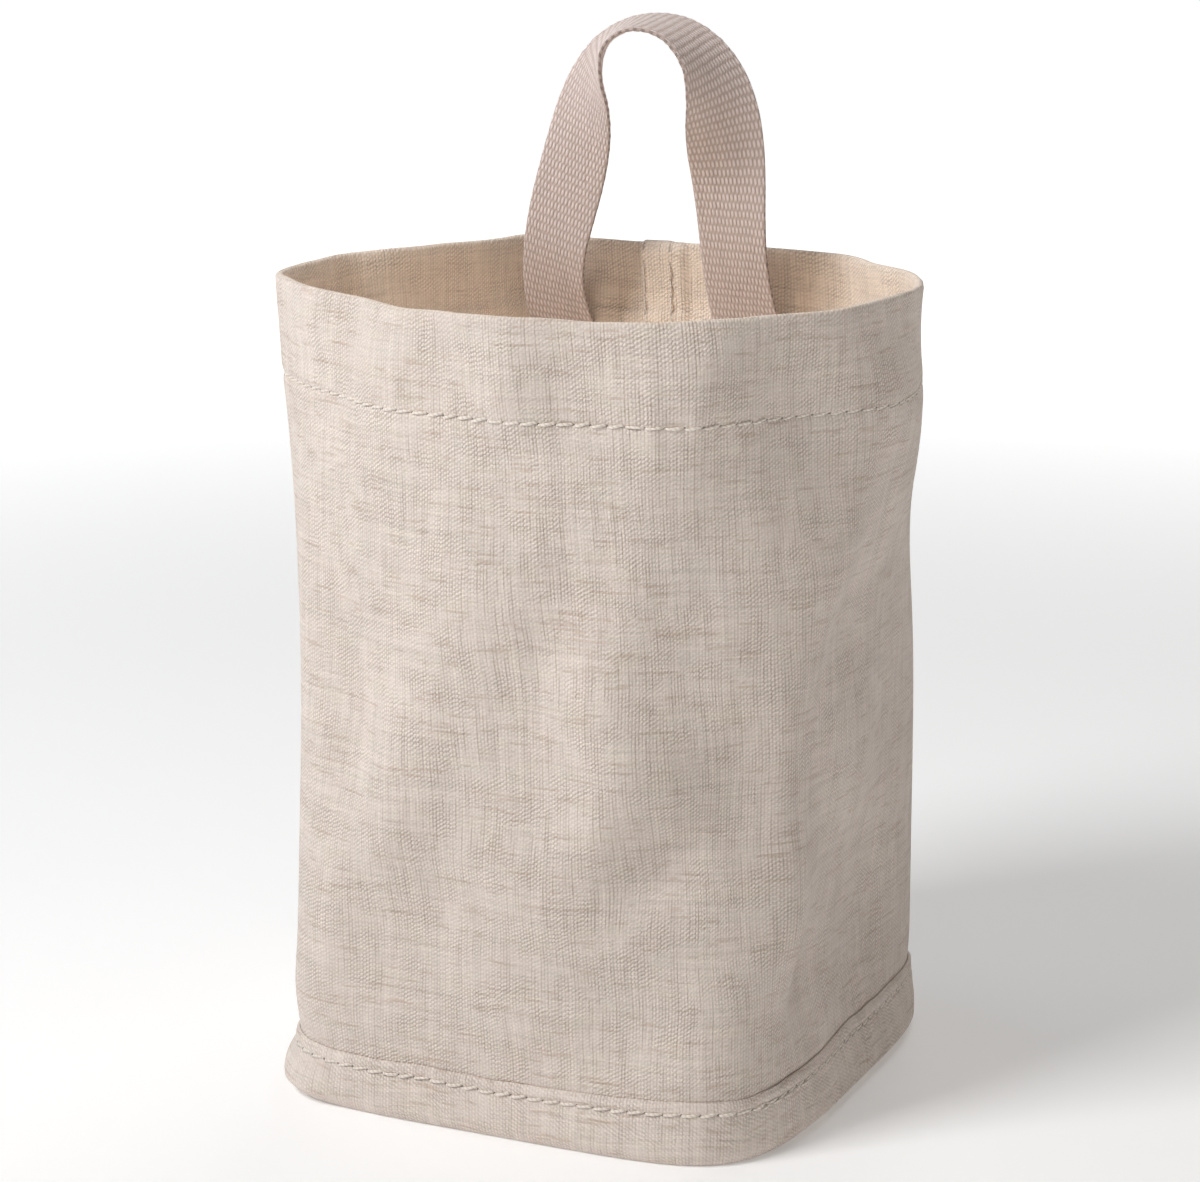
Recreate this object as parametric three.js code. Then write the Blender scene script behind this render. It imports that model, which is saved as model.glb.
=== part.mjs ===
// Peg bag: a canvas bag with a rounded square base, a turned-in hem, a folded
// band round its foot and one loop of webbing on the back wall.
// Millimetres, +Z up, front towards -Y, standing on z = 0.

import * as THREE from "three";

// ---- driving dimensions -------------------------------------------------

const RIM_Z = 200; // height of the rim above the ground
const CLOTH = 1.0; // thickness of one layer of canvas
const LAYER = 1.3; // pitch from one layer to the next, with its gap
const HEM_EDGE_Z = 173.3; // lower edge of the turned-in hem
const HEM_STITCH_Z = 176; // stitch row that holds the hem
const BAND_TOP = 12.5; // upper fold of the band round the foot
const BAND_STITCH_Z = 9.4; // stitch row along that fold
const FOOT_Z = 1.6; // lower edge of the wall
const SEAM_LAP = 9.3; // overlap of the felled back seam
const BASE = { w: 131.5, d: 135.0, n: 5.2, cx: 1.9, cy: 0.4, seamX: -4 }; // wall at the foot
const FLARE = { w: 142.4, d: 141.6, n: 4.8 }; // widest line of the band
// The side walls hang a little hollow: deepest point, its height, its spread.
const HOLLOW_LEFT = { depth: 1.58, z: 110.4, spread: 52.8 };
const HOLLOW_RIGHT = { depth: 1.02, z: 140.7, spread: 120 };
const FLANGE_Z = 8; // height of the base panel's turned-up edge
const STRAP_W = 19.5; // webbing width
const STRAP_T = 1.5; // webbing thickness
const STRAP_LEFT_AT = 32.75; // centre of the left leg, along the wall from the seam
const STRAP_RIGHT_AT = -21.3; // centre of the right leg
const FLEX_Z = 175.4; // where the webbing starts to move
const THREAD = 0.4; // thickness of a stitch row
const ORIGIN_SHIFT = [0.417, 0.995]; // puts the middle of the outline on the Z axis

// Rim of the wall, seen from above, counter-clockwise from the back seam.
const RIM = [
  [-7, 62.6], [-14, 62.3], [-25, 62.4], [-37, 63.6], [-47.5, 65.5], [-53.4, 64.4], [-57.2, 54.6], [-61.6, 42.4],
  [-65.4, 31.0], [-71.2, 20.2], [-77.2, 12.6], [-79.8, 6.0], [-80.1, -2], [-79.8, -11], [-77.8, -21.5],
  [-74.8, -30.2], [-69.6, -36.2], [-60, -44.2], [-50, -51.4], [-41.4, -57.6], [-31.6, -63.8], [-22.2, -68.6],
  [-12.7, -71.8], [-3, -73.4], [8, -73.2], [19, -71.2], [28.6, -67.6], [36.4, -62.2], [43.6, -55.4], [50.4, -48.4],
  [58, -41.4], [65, -34.2], [70, -26], [73.6, -16.8], [77.2, -8], [79.2, 1], [78.4, 10.5], [74.8, 21.5],
  [69.3, 32.5], [63.2, 41.4], [56.3, 47.4], [48.8, 55.6], [42.6, 63.4], [36.6, 66.4], [27.5, 64.4], [16, 62.9],
  [4, 62.9],
];

// Webbing loop: its two edges from the left leg over the arch to the right leg.
const STRAP_NEAR = [
  [-29.44, 59.68, 175.33], [-29.05, 54.06, 182.18], [-28.27, 48.99, 189.42], [-26.63, 46.13, 197.61],
  [-24.13, 45.66, 206.15], [-21.37, 44.95, 214.64], [-18.62, 42.53, 222.83], [-16.22, 38.53, 230.53],
  [-14.68, 33.41, 237.8], [-14.33, 28.26, 245.25], [-12.25, 25.1, 253.28], [-4.87, 24.31, 257.93],
  [3.83, 24.46, 256.25], [9.09, 25.59, 249.27], [9.17, 28.52, 240.75], [6.9, 33.39, 233.41], [4.81, 39.29, 226.73],
  [4.04, 44.47, 219.19], [4.01, 47.91, 210.62], [4.1, 50.42, 201.7], [4.3, 53.12, 192.85], [4.61, 56.32, 184.21],
  [5.01, 59.48, 175.63],
];
const STRAP_FAR = [
  [-48.84, 60.51, 176.57], [-48.32, 55.56, 184.85], [-47.11, 51.82, 193.65], [-45.18, 49.28, 202.73],
  [-42.69, 47.56, 211.85], [-39.76, 46.49, 220.92], [-36.56, 45.49, 229.87], [-32.99, 44.37, 238.65],
  [-28.5, 43.76, 247.02], [-22.33, 43.76, 254.21], [-14.11, 43.79, 258.77], [-4.97, 43.66, 260.42],
  [4.16, 43.78, 259.09], [12.09, 44.23, 254.34], [17.93, 44.85, 247.08], [21.36, 45.64, 238.35],
  [22.97, 46.12, 229.07], [23.49, 46.12, 219.71], [23.46, 46.39, 210.4], [23.39, 47.64, 201.21],
  [23.59, 50.33, 192.33], [24.02, 54.41, 183.96], [24.52, 59.71, 176.19],
];

// ---- the wall as a surface ----------------------------------------------

const STEPS = 720; // points kept on each horizontal section

// Evenly spaced points on a closed outline.
function evenly(points) {
  const run = [0];
  for (let i = 0; i < points.length; i++) {
    const a = points[i];
    const b = points[(i + 1) % points.length];
    run.push(run[i] + Math.hypot(b[0] - a[0], b[1] - a[1]));
  }
  const length = run[points.length];
  const out = [];
  let k = 0;
  for (let i = 0; i < STEPS; i++) {
    const s = (i / STEPS) * length;
    while (run[k + 1] < s) k++;
    const t = (s - run[k]) / (run[k + 1] - run[k]);
    const a = points[k];
    const b = points[(k + 1) % points.length];
    out.push([a[0] + (b[0] - a[0]) * t, a[1] + (b[1] - a[1]) * t]);
  }
  return { points: out, length };
}

function smoothOutline(control) {
  const flat = control.map((p) => new THREE.Vector3(p[0], p[1], 0));
  const curve = new THREE.CatmullRomCurve3(flat, true, "catmullrom", 0.5);
  const out = [];
  const n = control.length * 16;
  for (let i = 0; i < n; i++) {
    const p = curve.getPoint(i / n);
    out.push([p.x, p.y]);
  }
  return evenly(out);
}

// Rounded square as a superellipse, from the point at the back where x is seamX.
function roundedSquare({ w, d, n, cx, cy, seamX }) {
  const out = [];
  const count = 2880;
  for (let i = 0; i < count; i++) {
    const t = (i / count) * 2 * Math.PI + Math.PI / 2;
    const c = Math.cos(t);
    const s = Math.sin(t);
    out.push([
      cx + (w / 2) * Math.sign(c) * Math.abs(c) ** (2 / n),
      cy + (d / 2) * Math.sign(s) * Math.abs(s) ** (2 / n),
    ]);
  }
  let start = 0;
  let best = Infinity;
  out.forEach((p, i) => {
    if (p[1] > cy && Math.abs(p[0] - seamX) < best) {
      best = Math.abs(p[0] - seamX);
      start = i;
    }
  });
  return evenly(out.slice(start).concat(out.slice(0, start)));
}

const rim = smoothOutline(RIM);
const foot = roundedSquare(BASE);
const GIRTH = rim.length; // length of cloth round the bag

// Share of the rim's shape at height z: none at the foot, all of it at the rim.
function rimShare(z) {
  const t = Math.min(Math.max((z - BAND_TOP) / (RIM_Z - BAND_TOP), 0), 1);
  const s = t * t * (3 - 2 * t);
  return { t, w: 0.5 * t ** 2.2 + 0.5 * s ** 1.7 };
}

const sections = new Map();
function section(z) {
  const key = z.toFixed(3);
  if (sections.has(key)) return sections.get(key);
  const { t, w } = rimShare(z);
  let line = foot.points.map((p, i) => [p[0] * (1 - w) + rim.points[i][0] * w, p[1] * (1 - w) + rim.points[i][1] * w]);
  const centre = [0, 1].map((k) => line.reduce((sum, p) => sum + p[k], 0) / STEPS);
  let length = 0;
  line.forEach((p, i) => {
    const q = line[(i + 1) % STEPS];
    length += Math.hypot(q[0] - p[0], q[1] - p[1]);
  });
  const want = foot.length * (1 - w) + rim.length * w;
  const grow = 1 + 0.4 * (want / length - 1); // the cloth keeps nearly its length round the bag
  const swell = Math.max(Math.sin(Math.PI * t), 0);
  const bump = (h) => swell ** 0.35 * h.depth * Math.exp(-(((z - h.z) / h.spread) ** 2));
  line = line.map((p) => {
    const x = centre[0] + (p[0] - centre[0]) * grow + 0.6 * swell;
    const left = bump(HOLLOW_LEFT) / (1 + Math.exp((x + 30) / 9));
    const right = bump(HOLLOW_RIGHT) / (1 + Math.exp(-(x - 30) / 9));
    return [x + left - right, centre[1] + (p[1] - centre[1]) * grow];
  });
  const out = line.map((_, i) => {
    const a = line[(i + STEPS - 3) % STEPS];
    const b = line[(i + 3) % STEPS];
    const l = Math.hypot(b[0] - a[0], b[1] - a[1]);
    return [(b[1] - a[1]) / l, -(b[0] - a[0]) / l];
  });
  const made = { line, out };
  sections.set(key, made);
  return made;
}

// A point s millimetres round the wall from the seam, at height z, lying
// `inward` millimetres inside the middle of the cloth.
function onWall(s, z, inward) {
  const { line, out } = section(Math.min(Math.max(z, 0), RIM_Z));
  const f = ((((s / GIRTH) % 1) + 1) % 1) * STEPS;
  const i = Math.floor(f) % STEPS;
  const j = (i + 1) % STEPS;
  const t = f - Math.floor(f);
  const nx = out[i][0] * (1 - t) + out[j][0] * t;
  const ny = out[i][1] * (1 - t) + out[j][1] * t;
  const l = Math.hypot(nx, ny);
  return new THREE.Vector3(
    line[i][0] * (1 - t) + line[j][0] * t - (nx / l) * inward,
    line[i][1] * (1 - t) + line[j][1] * t - (ny / l) * inward,
    z,
  );
}

// Distance from the wall out to the widest line of the band.
function flareAt(s) {
  const p = onWall(s, 5, 0);
  const q = onWall(s, 5, -1);
  const inside = (d) =>
    Math.abs((p.x + (q.x - p.x) * d) / (FLARE.w / 2)) ** FLARE.n +
      Math.abs((p.y + (q.y - p.y) * d) / (FLARE.d / 2)) ** FLARE.n <
    1;
  let low = 0;
  let high = 20;
  for (let k = 0; k < 40; k++) {
    const mid = (low + high) / 2;
    if (inside(mid)) low = mid;
    else high = mid;
  }
  return Math.max(low, 3.7);
}

// ---- solids from sections ------------------------------------------------

function solid(positions, triangles) {
  const geometry = new THREE.BufferGeometry();
  geometry.setAttribute("position", new THREE.Float32BufferAttribute(positions.flatMap((p) => [p.x, p.y, p.z]), 3));
  let volume = 0;
  for (const [a, b, c] of triangles) {
    volume += positions[a].dot(new THREE.Vector3().crossVectors(positions[b], positions[c]));
  }
  geometry.setIndex(volume > 0 ? triangles.flat() : triangles.flatMap(([a, b, c]) => [a, c, b]));
  geometry.computeVertexNormals();
  return geometry;
}

// Joins a row of closed sections into one body. With `round` the last section
// meets the first; otherwise both ends get a cap. Each section is one side of a
// strip followed by the other side backwards, so a cap is a strip of quads.
function loft(rows, round) {
  const m = rows[0].length;
  const n = rows.length;
  const positions = rows.flat();
  const triangles = [];
  const at = (i, j) => (i % n) * m + (j % m);
  for (let i = 0; i < (round ? n : n - 1); i++) {
    for (let j = 0; j < m; j++) {
      triangles.push([at(i, j), at(i + 1, j), at(i + 1, j + 1)], [at(i, j), at(i + 1, j + 1), at(i, j + 1)]);
    }
  }
  if (!round) {
    for (const [i, turn] of [[0, false], [n - 1, true]]) {
      for (let j = 0; j < m / 2 - 1; j++) {
        const quad = [at(i, j), at(i, j + 1), at(i, m - 2 - j), at(i, m - 1 - j)];
        const cap = [[quad[0], quad[1], quad[2]], [quad[0], quad[2], quad[3]]];
        triangles.push(...(turn ? cap.map(([a, b, c]) => [a, c, b]) : cap));
      }
    }
  }
  return solid(positions, triangles);
}

// Both sides of a strip of the given thickness that follows a path of
// [inward, height] points: one side forwards, then the other side backwards.
function bothSides(path, thickness) {
  const left = [];
  const right = [];
  path.forEach((p, i) => {
    const a = path[Math.max(i - 1, 0)];
    const b = path[Math.min(i + 1, path.length - 1)];
    const d1 = [p[0] - a[0], p[1] - a[1]];
    const d2 = [b[0] - p[0], b[1] - p[1]];
    const l1 = Math.hypot(...d1) || 1;
    const l2 = Math.hypot(...d2) || 1;
    let n1 = [-d1[1] / l1, d1[0] / l1];
    let n2 = [-d2[1] / l2, d2[0] / l2];
    if (i === 0) n1 = n2;
    if (i === path.length - 1) n2 = n1;
    const m = [n1[0] + n2[0], n1[1] + n2[1]];
    const k = Math.min(2 / (m[0] * m[0] + m[1] * m[1]), 0.75);
    const off = [m[0] * k * (thickness / 2), m[1] * k * (thickness / 2)];
    left.push([p[0] + off[0], p[1] + off[1]]);
    right.push([p[0] - off[0], p[1] - off[1]]);
  });
  return left.concat(right.reverse());
}

const ramp = (x, a, b) => {
  const t = Math.min(Math.max((x - a) / (b - a), 0), 1);
  return t * t * (3 - 2 * t);
};

// ---- stations round the bag ----------------------------------------------

const EVEN = 54;
const around = []; // stations shared by the wall, the band, the base and the stitch rows
for (let i = 0; i < EVEN; i++) around.push((i / EVEN) * GIRTH);
// Extra stations either side of the webbing's ends, where the hem swells.
for (const centre of [STRAP_LEFT_AT, GIRTH + STRAP_RIGHT_AT]) {
  for (const d of [-14.5, -10.6, 10.6, 14.5]) around.push(centre + d);
}
around.sort((a, b) => a - b);

// The wall starts at the seam, goes round once and laps over the outside of its own start.
const wallStations = [0, 5, 10.2, 14];
for (const s of around) if (s > 15 && s < GIRTH - 6) wallStations.push(s);
wallStations.push(GIRTH - 4, GIRTH - 0.7, GIRTH + 4.5, GIRTH + SEAM_LAP);

// Pieces outside the wall step over the lap of the back seam.
function overLap(s) {
  const d = ((s % GIRTH) + GIRTH) % GIRTH;
  return 1 - Math.min(ramp(d, 12, 16), ramp(GIRTH - d, 0.1, 7.5));
}

// How far inside the wall the hem runs at each station and height.
function hemDepth(s, z) {
  let depth = LAYER + LAYER * ramp(s, GIRTH - 4, GIRTH - 0.7); // over the seam's underlap
  for (const centre of [STRAP_LEFT_AT, GIRTH + STRAP_RIGHT_AT]) {
    const over = 1 - ramp(Math.abs(s - centre), 10.6, 14.5);
    depth += 1.8 * over * (1 - ramp(z, 186.5, 193));
  }
  return depth;
}

// ---- pieces --------------------------------------------------------------

function bodyPanel() {
  const rows = wallStations.map((s) => {
    const a = -LAYER * ramp(s, GIRTH - 4, GIRTH - 0.7);
    const b = hemDepth(s, RIM_Z);
    const top = RIM_Z - CLOTH / 2 - LAYER / 2;
    const mid = (a + b) / 2;
    const r = (b - a) / 2;
    const path = [FOOT_Z, BAND_TOP, 44, 78, 112, 146, HEM_STITCH_Z, 190].map((z) => [a, z]);
    path.push([a, top]);
    for (const deg of [45, 90, 135]) {
      const t = (deg * Math.PI) / 180;
      path.push([mid - r * Math.cos(t), top + r * Math.sin(t)]);
    }
    path.push([b, top], [hemDepth(s, 193), 193], [hemDepth(s, 186.5), 186.5], [hemDepth(s, HEM_EDGE_Z), HEM_EDGE_Z]);
    return bothSides(path, CLOTH).map(([o, z]) => onWall(s, z, o));
  });
  return loft(rows, false);
}

function baseBand() {
  const rows = around.map((s) => {
    const f = flareAt(s);
    const path = [
      [-1.3, 4.4], [-1.3, 11.35], [-1.49, 11.81], [-1.95, 12.0], [-2.41, 11.81], [-2.6, 11.35],
      [-2.85 - (f - 3.7) * 0.35, 9], [-(f - 0.5) * 0.93, 6], [-(f - 0.5), 3.7], [-(f - 1.1), 1.6],
      [-(f - 2.6), 0.5], [0.35, 0.5],
    ];
    for (const p of path) if (p[0] < 0) p[0] -= LAYER * overLap(s);
    return bothSides(path, CLOTH).map(([o, z]) => onWall(s, z, o));
  });
  return loft(rows, true);
}

function basePanel() {
  const positions = [];
  const triangles = [];
  const rings = [[0.85, 0], [0.85, FLANGE_Z], [0.85 + CLOTH, FLANGE_Z], [0.85 + CLOTH, CLOTH]];
  for (const [o, z] of rings) {
    for (const s of around) {
      const p = onWall(s, Math.max(z, 1), o);
      p.z = z;
      positions.push(p);
    }
  }
  const n = around.length;
  for (let r = 0; r < rings.length - 1; r++) {
    for (let i = 0; i < n; i++) {
      const a = r * n + i;
      const b = r * n + ((i + 1) % n);
      triangles.push([a, b, b + n], [a, b + n, a + n]);
    }
  }
  const under = positions.push(new THREE.Vector3(BASE.cx, BASE.cy, 0)) - 1;
  const over = positions.push(new THREE.Vector3(BASE.cx, BASE.cy, CLOTH)) - 1;
  for (let i = 0; i < n; i++) {
    triangles.push([(i + 1) % n, i, under], [3 * n + i, 3 * n + ((i + 1) % n), over]);
  }
  return solid(positions, triangles);
}

// A row of thread all round the bag, lying on a face `inward` from the wall.
function stitchRing(inward, z) {
  const h = THREAD / 2;
  const rows = around.map((s) => {
    const o = typeof inward === "function" ? inward(s) : inward;
    return [[o - h, z - h], [o - h, z + h], [o + h, z + h], [o + h, z - h]].map(([q, y]) => onWall(s, y, q));
  });
  return loft(rows, true);
}

// The rows of the felled seam run up the inside of the wall and over the hem.
function seamRow(s) {
  const h = THREAD / 2;
  const path = [[1.0, 14], [1.0, 44], [1.0, 78], [1.0, 112], [1.0, 146], [1.0, 169.5], [3.6, 171.2], [3.6, 197]];
  const rows = path.map(([o, z]) => [
    onWall(s - h, z, o - h), onWall(s - h, z, o + h), onWall(s + h, z, o + h), onWall(s + h, z, o - h),
  ]);
  return loft(rows, false);
}

// A short row through the wall, the end of the webbing and the hem.
function handleTack(centre) {
  const h = THREAD / 2;
  const rows = [-8.4, -2.8, 2.8, 8.4].map((d) =>
    [[-1.2, 181 - h], [-1.2, 181 + h], [-0.8, 181 + h], [-0.8, 181 - h]].map(([o, z]) => onWall(centre + d, z, o)),
  );
  return loft(rows, false);
}

// The end of the webbing lies between wall and hem, turns round the hem's lower
// edge and comes up in front of it.
function handleEnd(centre) {
  const path = [[1.55, 184.6], [1.55, 179], [1.55, 171.6]];
  for (const deg of [30, 60, 90, 120, 150]) {
    const t = (deg * Math.PI) / 180;
    path.push([3.15 - 1.6 * Math.cos(t), 171.6 - 1.6 * Math.sin(t)]);
  }
  path.push([4.75, 171.6], [4.75, FLEX_Z - 1.2]);
  const rows = [-0.5, -0.25, 0, 0.25, 0.5].map((k) =>
    bothSides(path, STRAP_T).map(([o, z]) => onWall(centre + k * STRAP_W, z, o)),
  );
  return loft(rows, false);
}

function handleLoop() {
  const near = new THREE.CatmullRomCurve3(STRAP_NEAR.map((p) => new THREE.Vector3(...p)), false, "centripetal");
  const far = new THREE.CatmullRomCurve3(STRAP_FAR.map((p) => new THREE.Vector3(...p)), false, "centripetal");
  const n = 44;
  const edges = [];
  for (let i = 0; i <= n; i++) edges.push([near.getPoint(i / n), far.getPoint(i / n)]);
  const rows = edges.map(([a, b], i) => {
    const [a0, b0] = edges[Math.max(i - 1, 0)];
    const [a1, b1] = edges[Math.min(i + 1, n)];
    const along = new THREE.Vector3().addVectors(a1, b1).sub(a0).sub(b0).normalize();
    const across = new THREE.Vector3().subVectors(b, a).normalize();
    const face = new THREE.Vector3().crossVectors(along, across).normalize().multiplyScalar(STRAP_T / 2);
    const mid = new THREE.Vector3().addVectors(a, b).multiplyScalar(0.5);
    return [
      a.clone().add(face), mid.clone().add(face), b.clone().add(face),
      b.clone().sub(face), mid.clone().sub(face), a.clone().sub(face),
    ];
  });
  return loft(rows, false);
}

// ---- assembly --------------------------------------------------------------

const canvas = { color: new THREE.Color().setRGB(0.62, 0.56, 0.49), roughness: 0.92, metalness: 0 };
const webbing = { color: new THREE.Color().setRGB(0.55, 0.46, 0.39), roughness: 0.85, metalness: 0 };
const thread = { color: new THREE.Color().setRGB(0.66, 0.6, 0.53), roughness: 0.7, metalness: 0 };

const bag = new THREE.Group();

function add(name, geometry, finish) {
  const mesh = new THREE.Mesh(geometry, new THREE.MeshStandardMaterial(finish));
  mesh.name = name;
  bag.add(mesh);
}

add("body_panel", bodyPanel(), canvas);
add("base_panel", basePanel(), canvas);
add("base_band", baseBand(), canvas);
add("handle_loop", handleLoop(), webbing);
add("handle_end_left", handleEnd(STRAP_LEFT_AT), webbing);
add("handle_end_right", handleEnd(GIRTH + STRAP_RIGHT_AT), webbing);
add("hem_stitching", stitchRing((s) => -1.0 - LAYER * overLap(s), HEM_STITCH_Z), thread);
add("band_stitching", stitchRing((s) => -3.9 - (flareAt(s) - 3.7) * 0.35 - LAYER * overLap(s), BAND_STITCH_Z), thread);
add("base_seam_stitching", stitchRing(2.4, 5), thread);
add("back_seam_stitching_left", seamRow(7.6), thread);
add("back_seam_stitching_right", seamRow(1.4), thread);
add("handle_tack_left", handleTack(STRAP_LEFT_AT), thread);
add("handle_tack_right", handleTack(GIRTH + STRAP_RIGHT_AT), thread);

bag.position.set(ORIGIN_SHIFT[0], ORIGIN_SHIFT[1], 0);

export default bag;
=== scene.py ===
import math

import bpy
import numpy as np
from mathutils import Matrix, Vector


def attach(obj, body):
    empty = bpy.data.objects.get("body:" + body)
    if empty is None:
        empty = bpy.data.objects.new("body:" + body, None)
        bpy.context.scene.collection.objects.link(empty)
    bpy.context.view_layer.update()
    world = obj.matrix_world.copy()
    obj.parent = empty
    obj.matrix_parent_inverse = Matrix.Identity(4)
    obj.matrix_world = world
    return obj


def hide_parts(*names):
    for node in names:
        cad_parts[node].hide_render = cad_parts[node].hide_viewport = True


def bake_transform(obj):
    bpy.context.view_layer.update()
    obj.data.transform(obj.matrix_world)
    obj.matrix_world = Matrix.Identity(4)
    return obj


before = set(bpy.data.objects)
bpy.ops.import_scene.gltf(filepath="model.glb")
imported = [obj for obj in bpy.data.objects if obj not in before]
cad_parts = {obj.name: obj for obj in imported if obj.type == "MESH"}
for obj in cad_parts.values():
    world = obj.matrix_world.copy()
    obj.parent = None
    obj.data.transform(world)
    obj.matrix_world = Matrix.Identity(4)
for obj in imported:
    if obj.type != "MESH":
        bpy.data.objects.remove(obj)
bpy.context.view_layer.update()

MM = 0.001
SHIFT = np.array([0.417, 0.995, 0.0])  # the CAD group's move, in millimetres

# ---------------------------------------------------------------- camera ----

AZIMUTH, PITCH, ROLL = math.radians(24.3773), math.radians(13.5148), math.radians(0.0727)
camera_data = bpy.data.cameras.new("camera")
camera_data.sensor_width = 36.0
camera_data.lens = 101.49
camera_data.clip_start, camera_data.clip_end = 0.01, 60.0
camera = bpy.data.objects.new("camera", camera_data)
bpy.context.scene.collection.objects.link(camera)
forward = Vector((-math.sin(AZIMUTH) * math.cos(PITCH), math.cos(AZIMUTH) * math.cos(PITCH), -math.sin(PITCH)))
right = forward.cross(Vector((0, 0, 1))).normalized()
up = right.cross(forward)
right, up = right * math.cos(ROLL) + up * math.sin(ROLL), up * math.cos(ROLL) - right * math.sin(ROLL)
camera.matrix_world = Matrix((
    (right.x, up.x, -forward.x, 0.33909),
    (right.y, up.y, -forward.y, -0.74937),
    (right.z, up.z, -forward.z, 0.31854),
    (0, 0, 0, 1),
))
bpy.context.scene.camera = camera

# ------------------------------------------------------------ dimensions ----
# Millimetres, in the CAD's own coordinates before its move.

RIM_Z = 200.0
CLOTH = 0.85  # one layer of canvas
LAYER = 1.1  # pitch from one layer to the next
BAND_CLOTH = 0.5  # the band's canvas, pressed thinner
HEM_EDGE_Z = 173.3
HEM_STITCH_Z = 176.0
BAND_TOP = 12.5
BAND_STITCH_Z = 9.4
FOOT_Z = 1.6
SEAM_LAP = 9.6
BASE = (131.5, 135.0, 5.2, (1.9, 0.4), -4.0)
FLARE = (136.0, 135.4, 4.8)
FLARE_LEAST = 1.5
TUCK = 0.7  # how far the band draws the foot of the wall in
STRAP_W = 19.5
STRAP_T = 1.3
STRAP_LEFT_AT, STRAP_RIGHT_AT = 32.75, -21.3
STITCHES = 111  # stitches round the bag, in the hem and in the band

RIM = np.array([
    (-7, 62.6), (-14, 62.3), (-25, 62.4), (-37, 63.6), (-47.5, 65.5), (-53.4, 64.4), (-57.2, 54.6), (-61.6, 42.4),
    (-65.4, 31.0), (-71.2, 20.2), (-77.2, 12.6), (-79.8, 6.0), (-80.1, -2), (-79.8, -11), (-77.8, -21.5),
    (-74.8, -30.2), (-69.6, -36.2), (-60, -44.2), (-50, -51.4), (-41.4, -57.6), (-31.6, -63.8), (-22.2, -68.6),
    (-12.7, -71.8), (-3, -73.4), (8, -73.2), (19, -71.2), (28.6, -67.6), (36.4, -62.2), (43.6, -55.4), (50.4, -48.4),
    (58, -41.4), (65, -34.2), (70, -26), (73.6, -16.8), (77.2, -8), (79.2, 1), (78.4, 10.5), (74.8, 21.5),
    (69.3, 32.5), (63.2, 41.4), (56.3, 47.4), (48.8, 55.6), (42.6, 63.4), (36.6, 66.4), (27.5, 64.4), (16, 62.9),
    (4, 62.9),
], float)

STRAP_NEAR = np.array([
    (-29.44, 59.68, 175.33), (-29.05, 54.06, 182.18), (-28.27, 48.99, 189.42), (-26.63, 46.13, 197.61),
    (-24.13, 45.66, 206.15), (-21.37, 44.95, 214.64), (-18.62, 42.53, 222.83), (-16.22, 38.53, 230.53),
    (-14.68, 33.41, 237.8), (-14.33, 28.26, 245.25), (-12.25, 25.1, 253.28), (-4.87, 24.31, 257.93),
    (3.83, 24.46, 256.25), (9.09, 25.59, 249.27), (9.17, 28.52, 240.75), (6.9, 33.39, 233.41), (4.81, 39.29, 226.73),
    (4.04, 44.47, 219.19), (4.01, 47.91, 210.62), (4.1, 50.42, 201.7), (4.3, 53.12, 192.85), (4.61, 56.32, 184.21),
    (5.01, 59.48, 175.63),
], float)
STRAP_FAR = np.array([
    (-48.84, 60.51, 176.57), (-48.32, 55.56, 184.85), (-47.11, 51.82, 193.65), (-45.18, 49.28, 202.73),
    (-42.69, 47.56, 211.85), (-39.76, 46.49, 220.92), (-36.56, 45.49, 229.87), (-32.99, 44.37, 238.65),
    (-28.5, 43.76, 247.02), (-22.33, 43.76, 254.21), (-14.11, 43.79, 258.77), (-4.97, 43.66, 260.42),
    (4.16, 43.78, 259.09), (12.09, 44.23, 254.34), (17.93, 44.85, 247.08), (21.36, 45.64, 238.35),
    (22.97, 46.12, 229.07), (23.49, 46.12, 219.71), (23.46, 46.39, 210.4), (23.39, 47.64, 201.21),
    (23.59, 50.33, 192.33), (24.02, 54.41, 183.96), (24.52, 59.71, 176.19),
], float)

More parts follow.
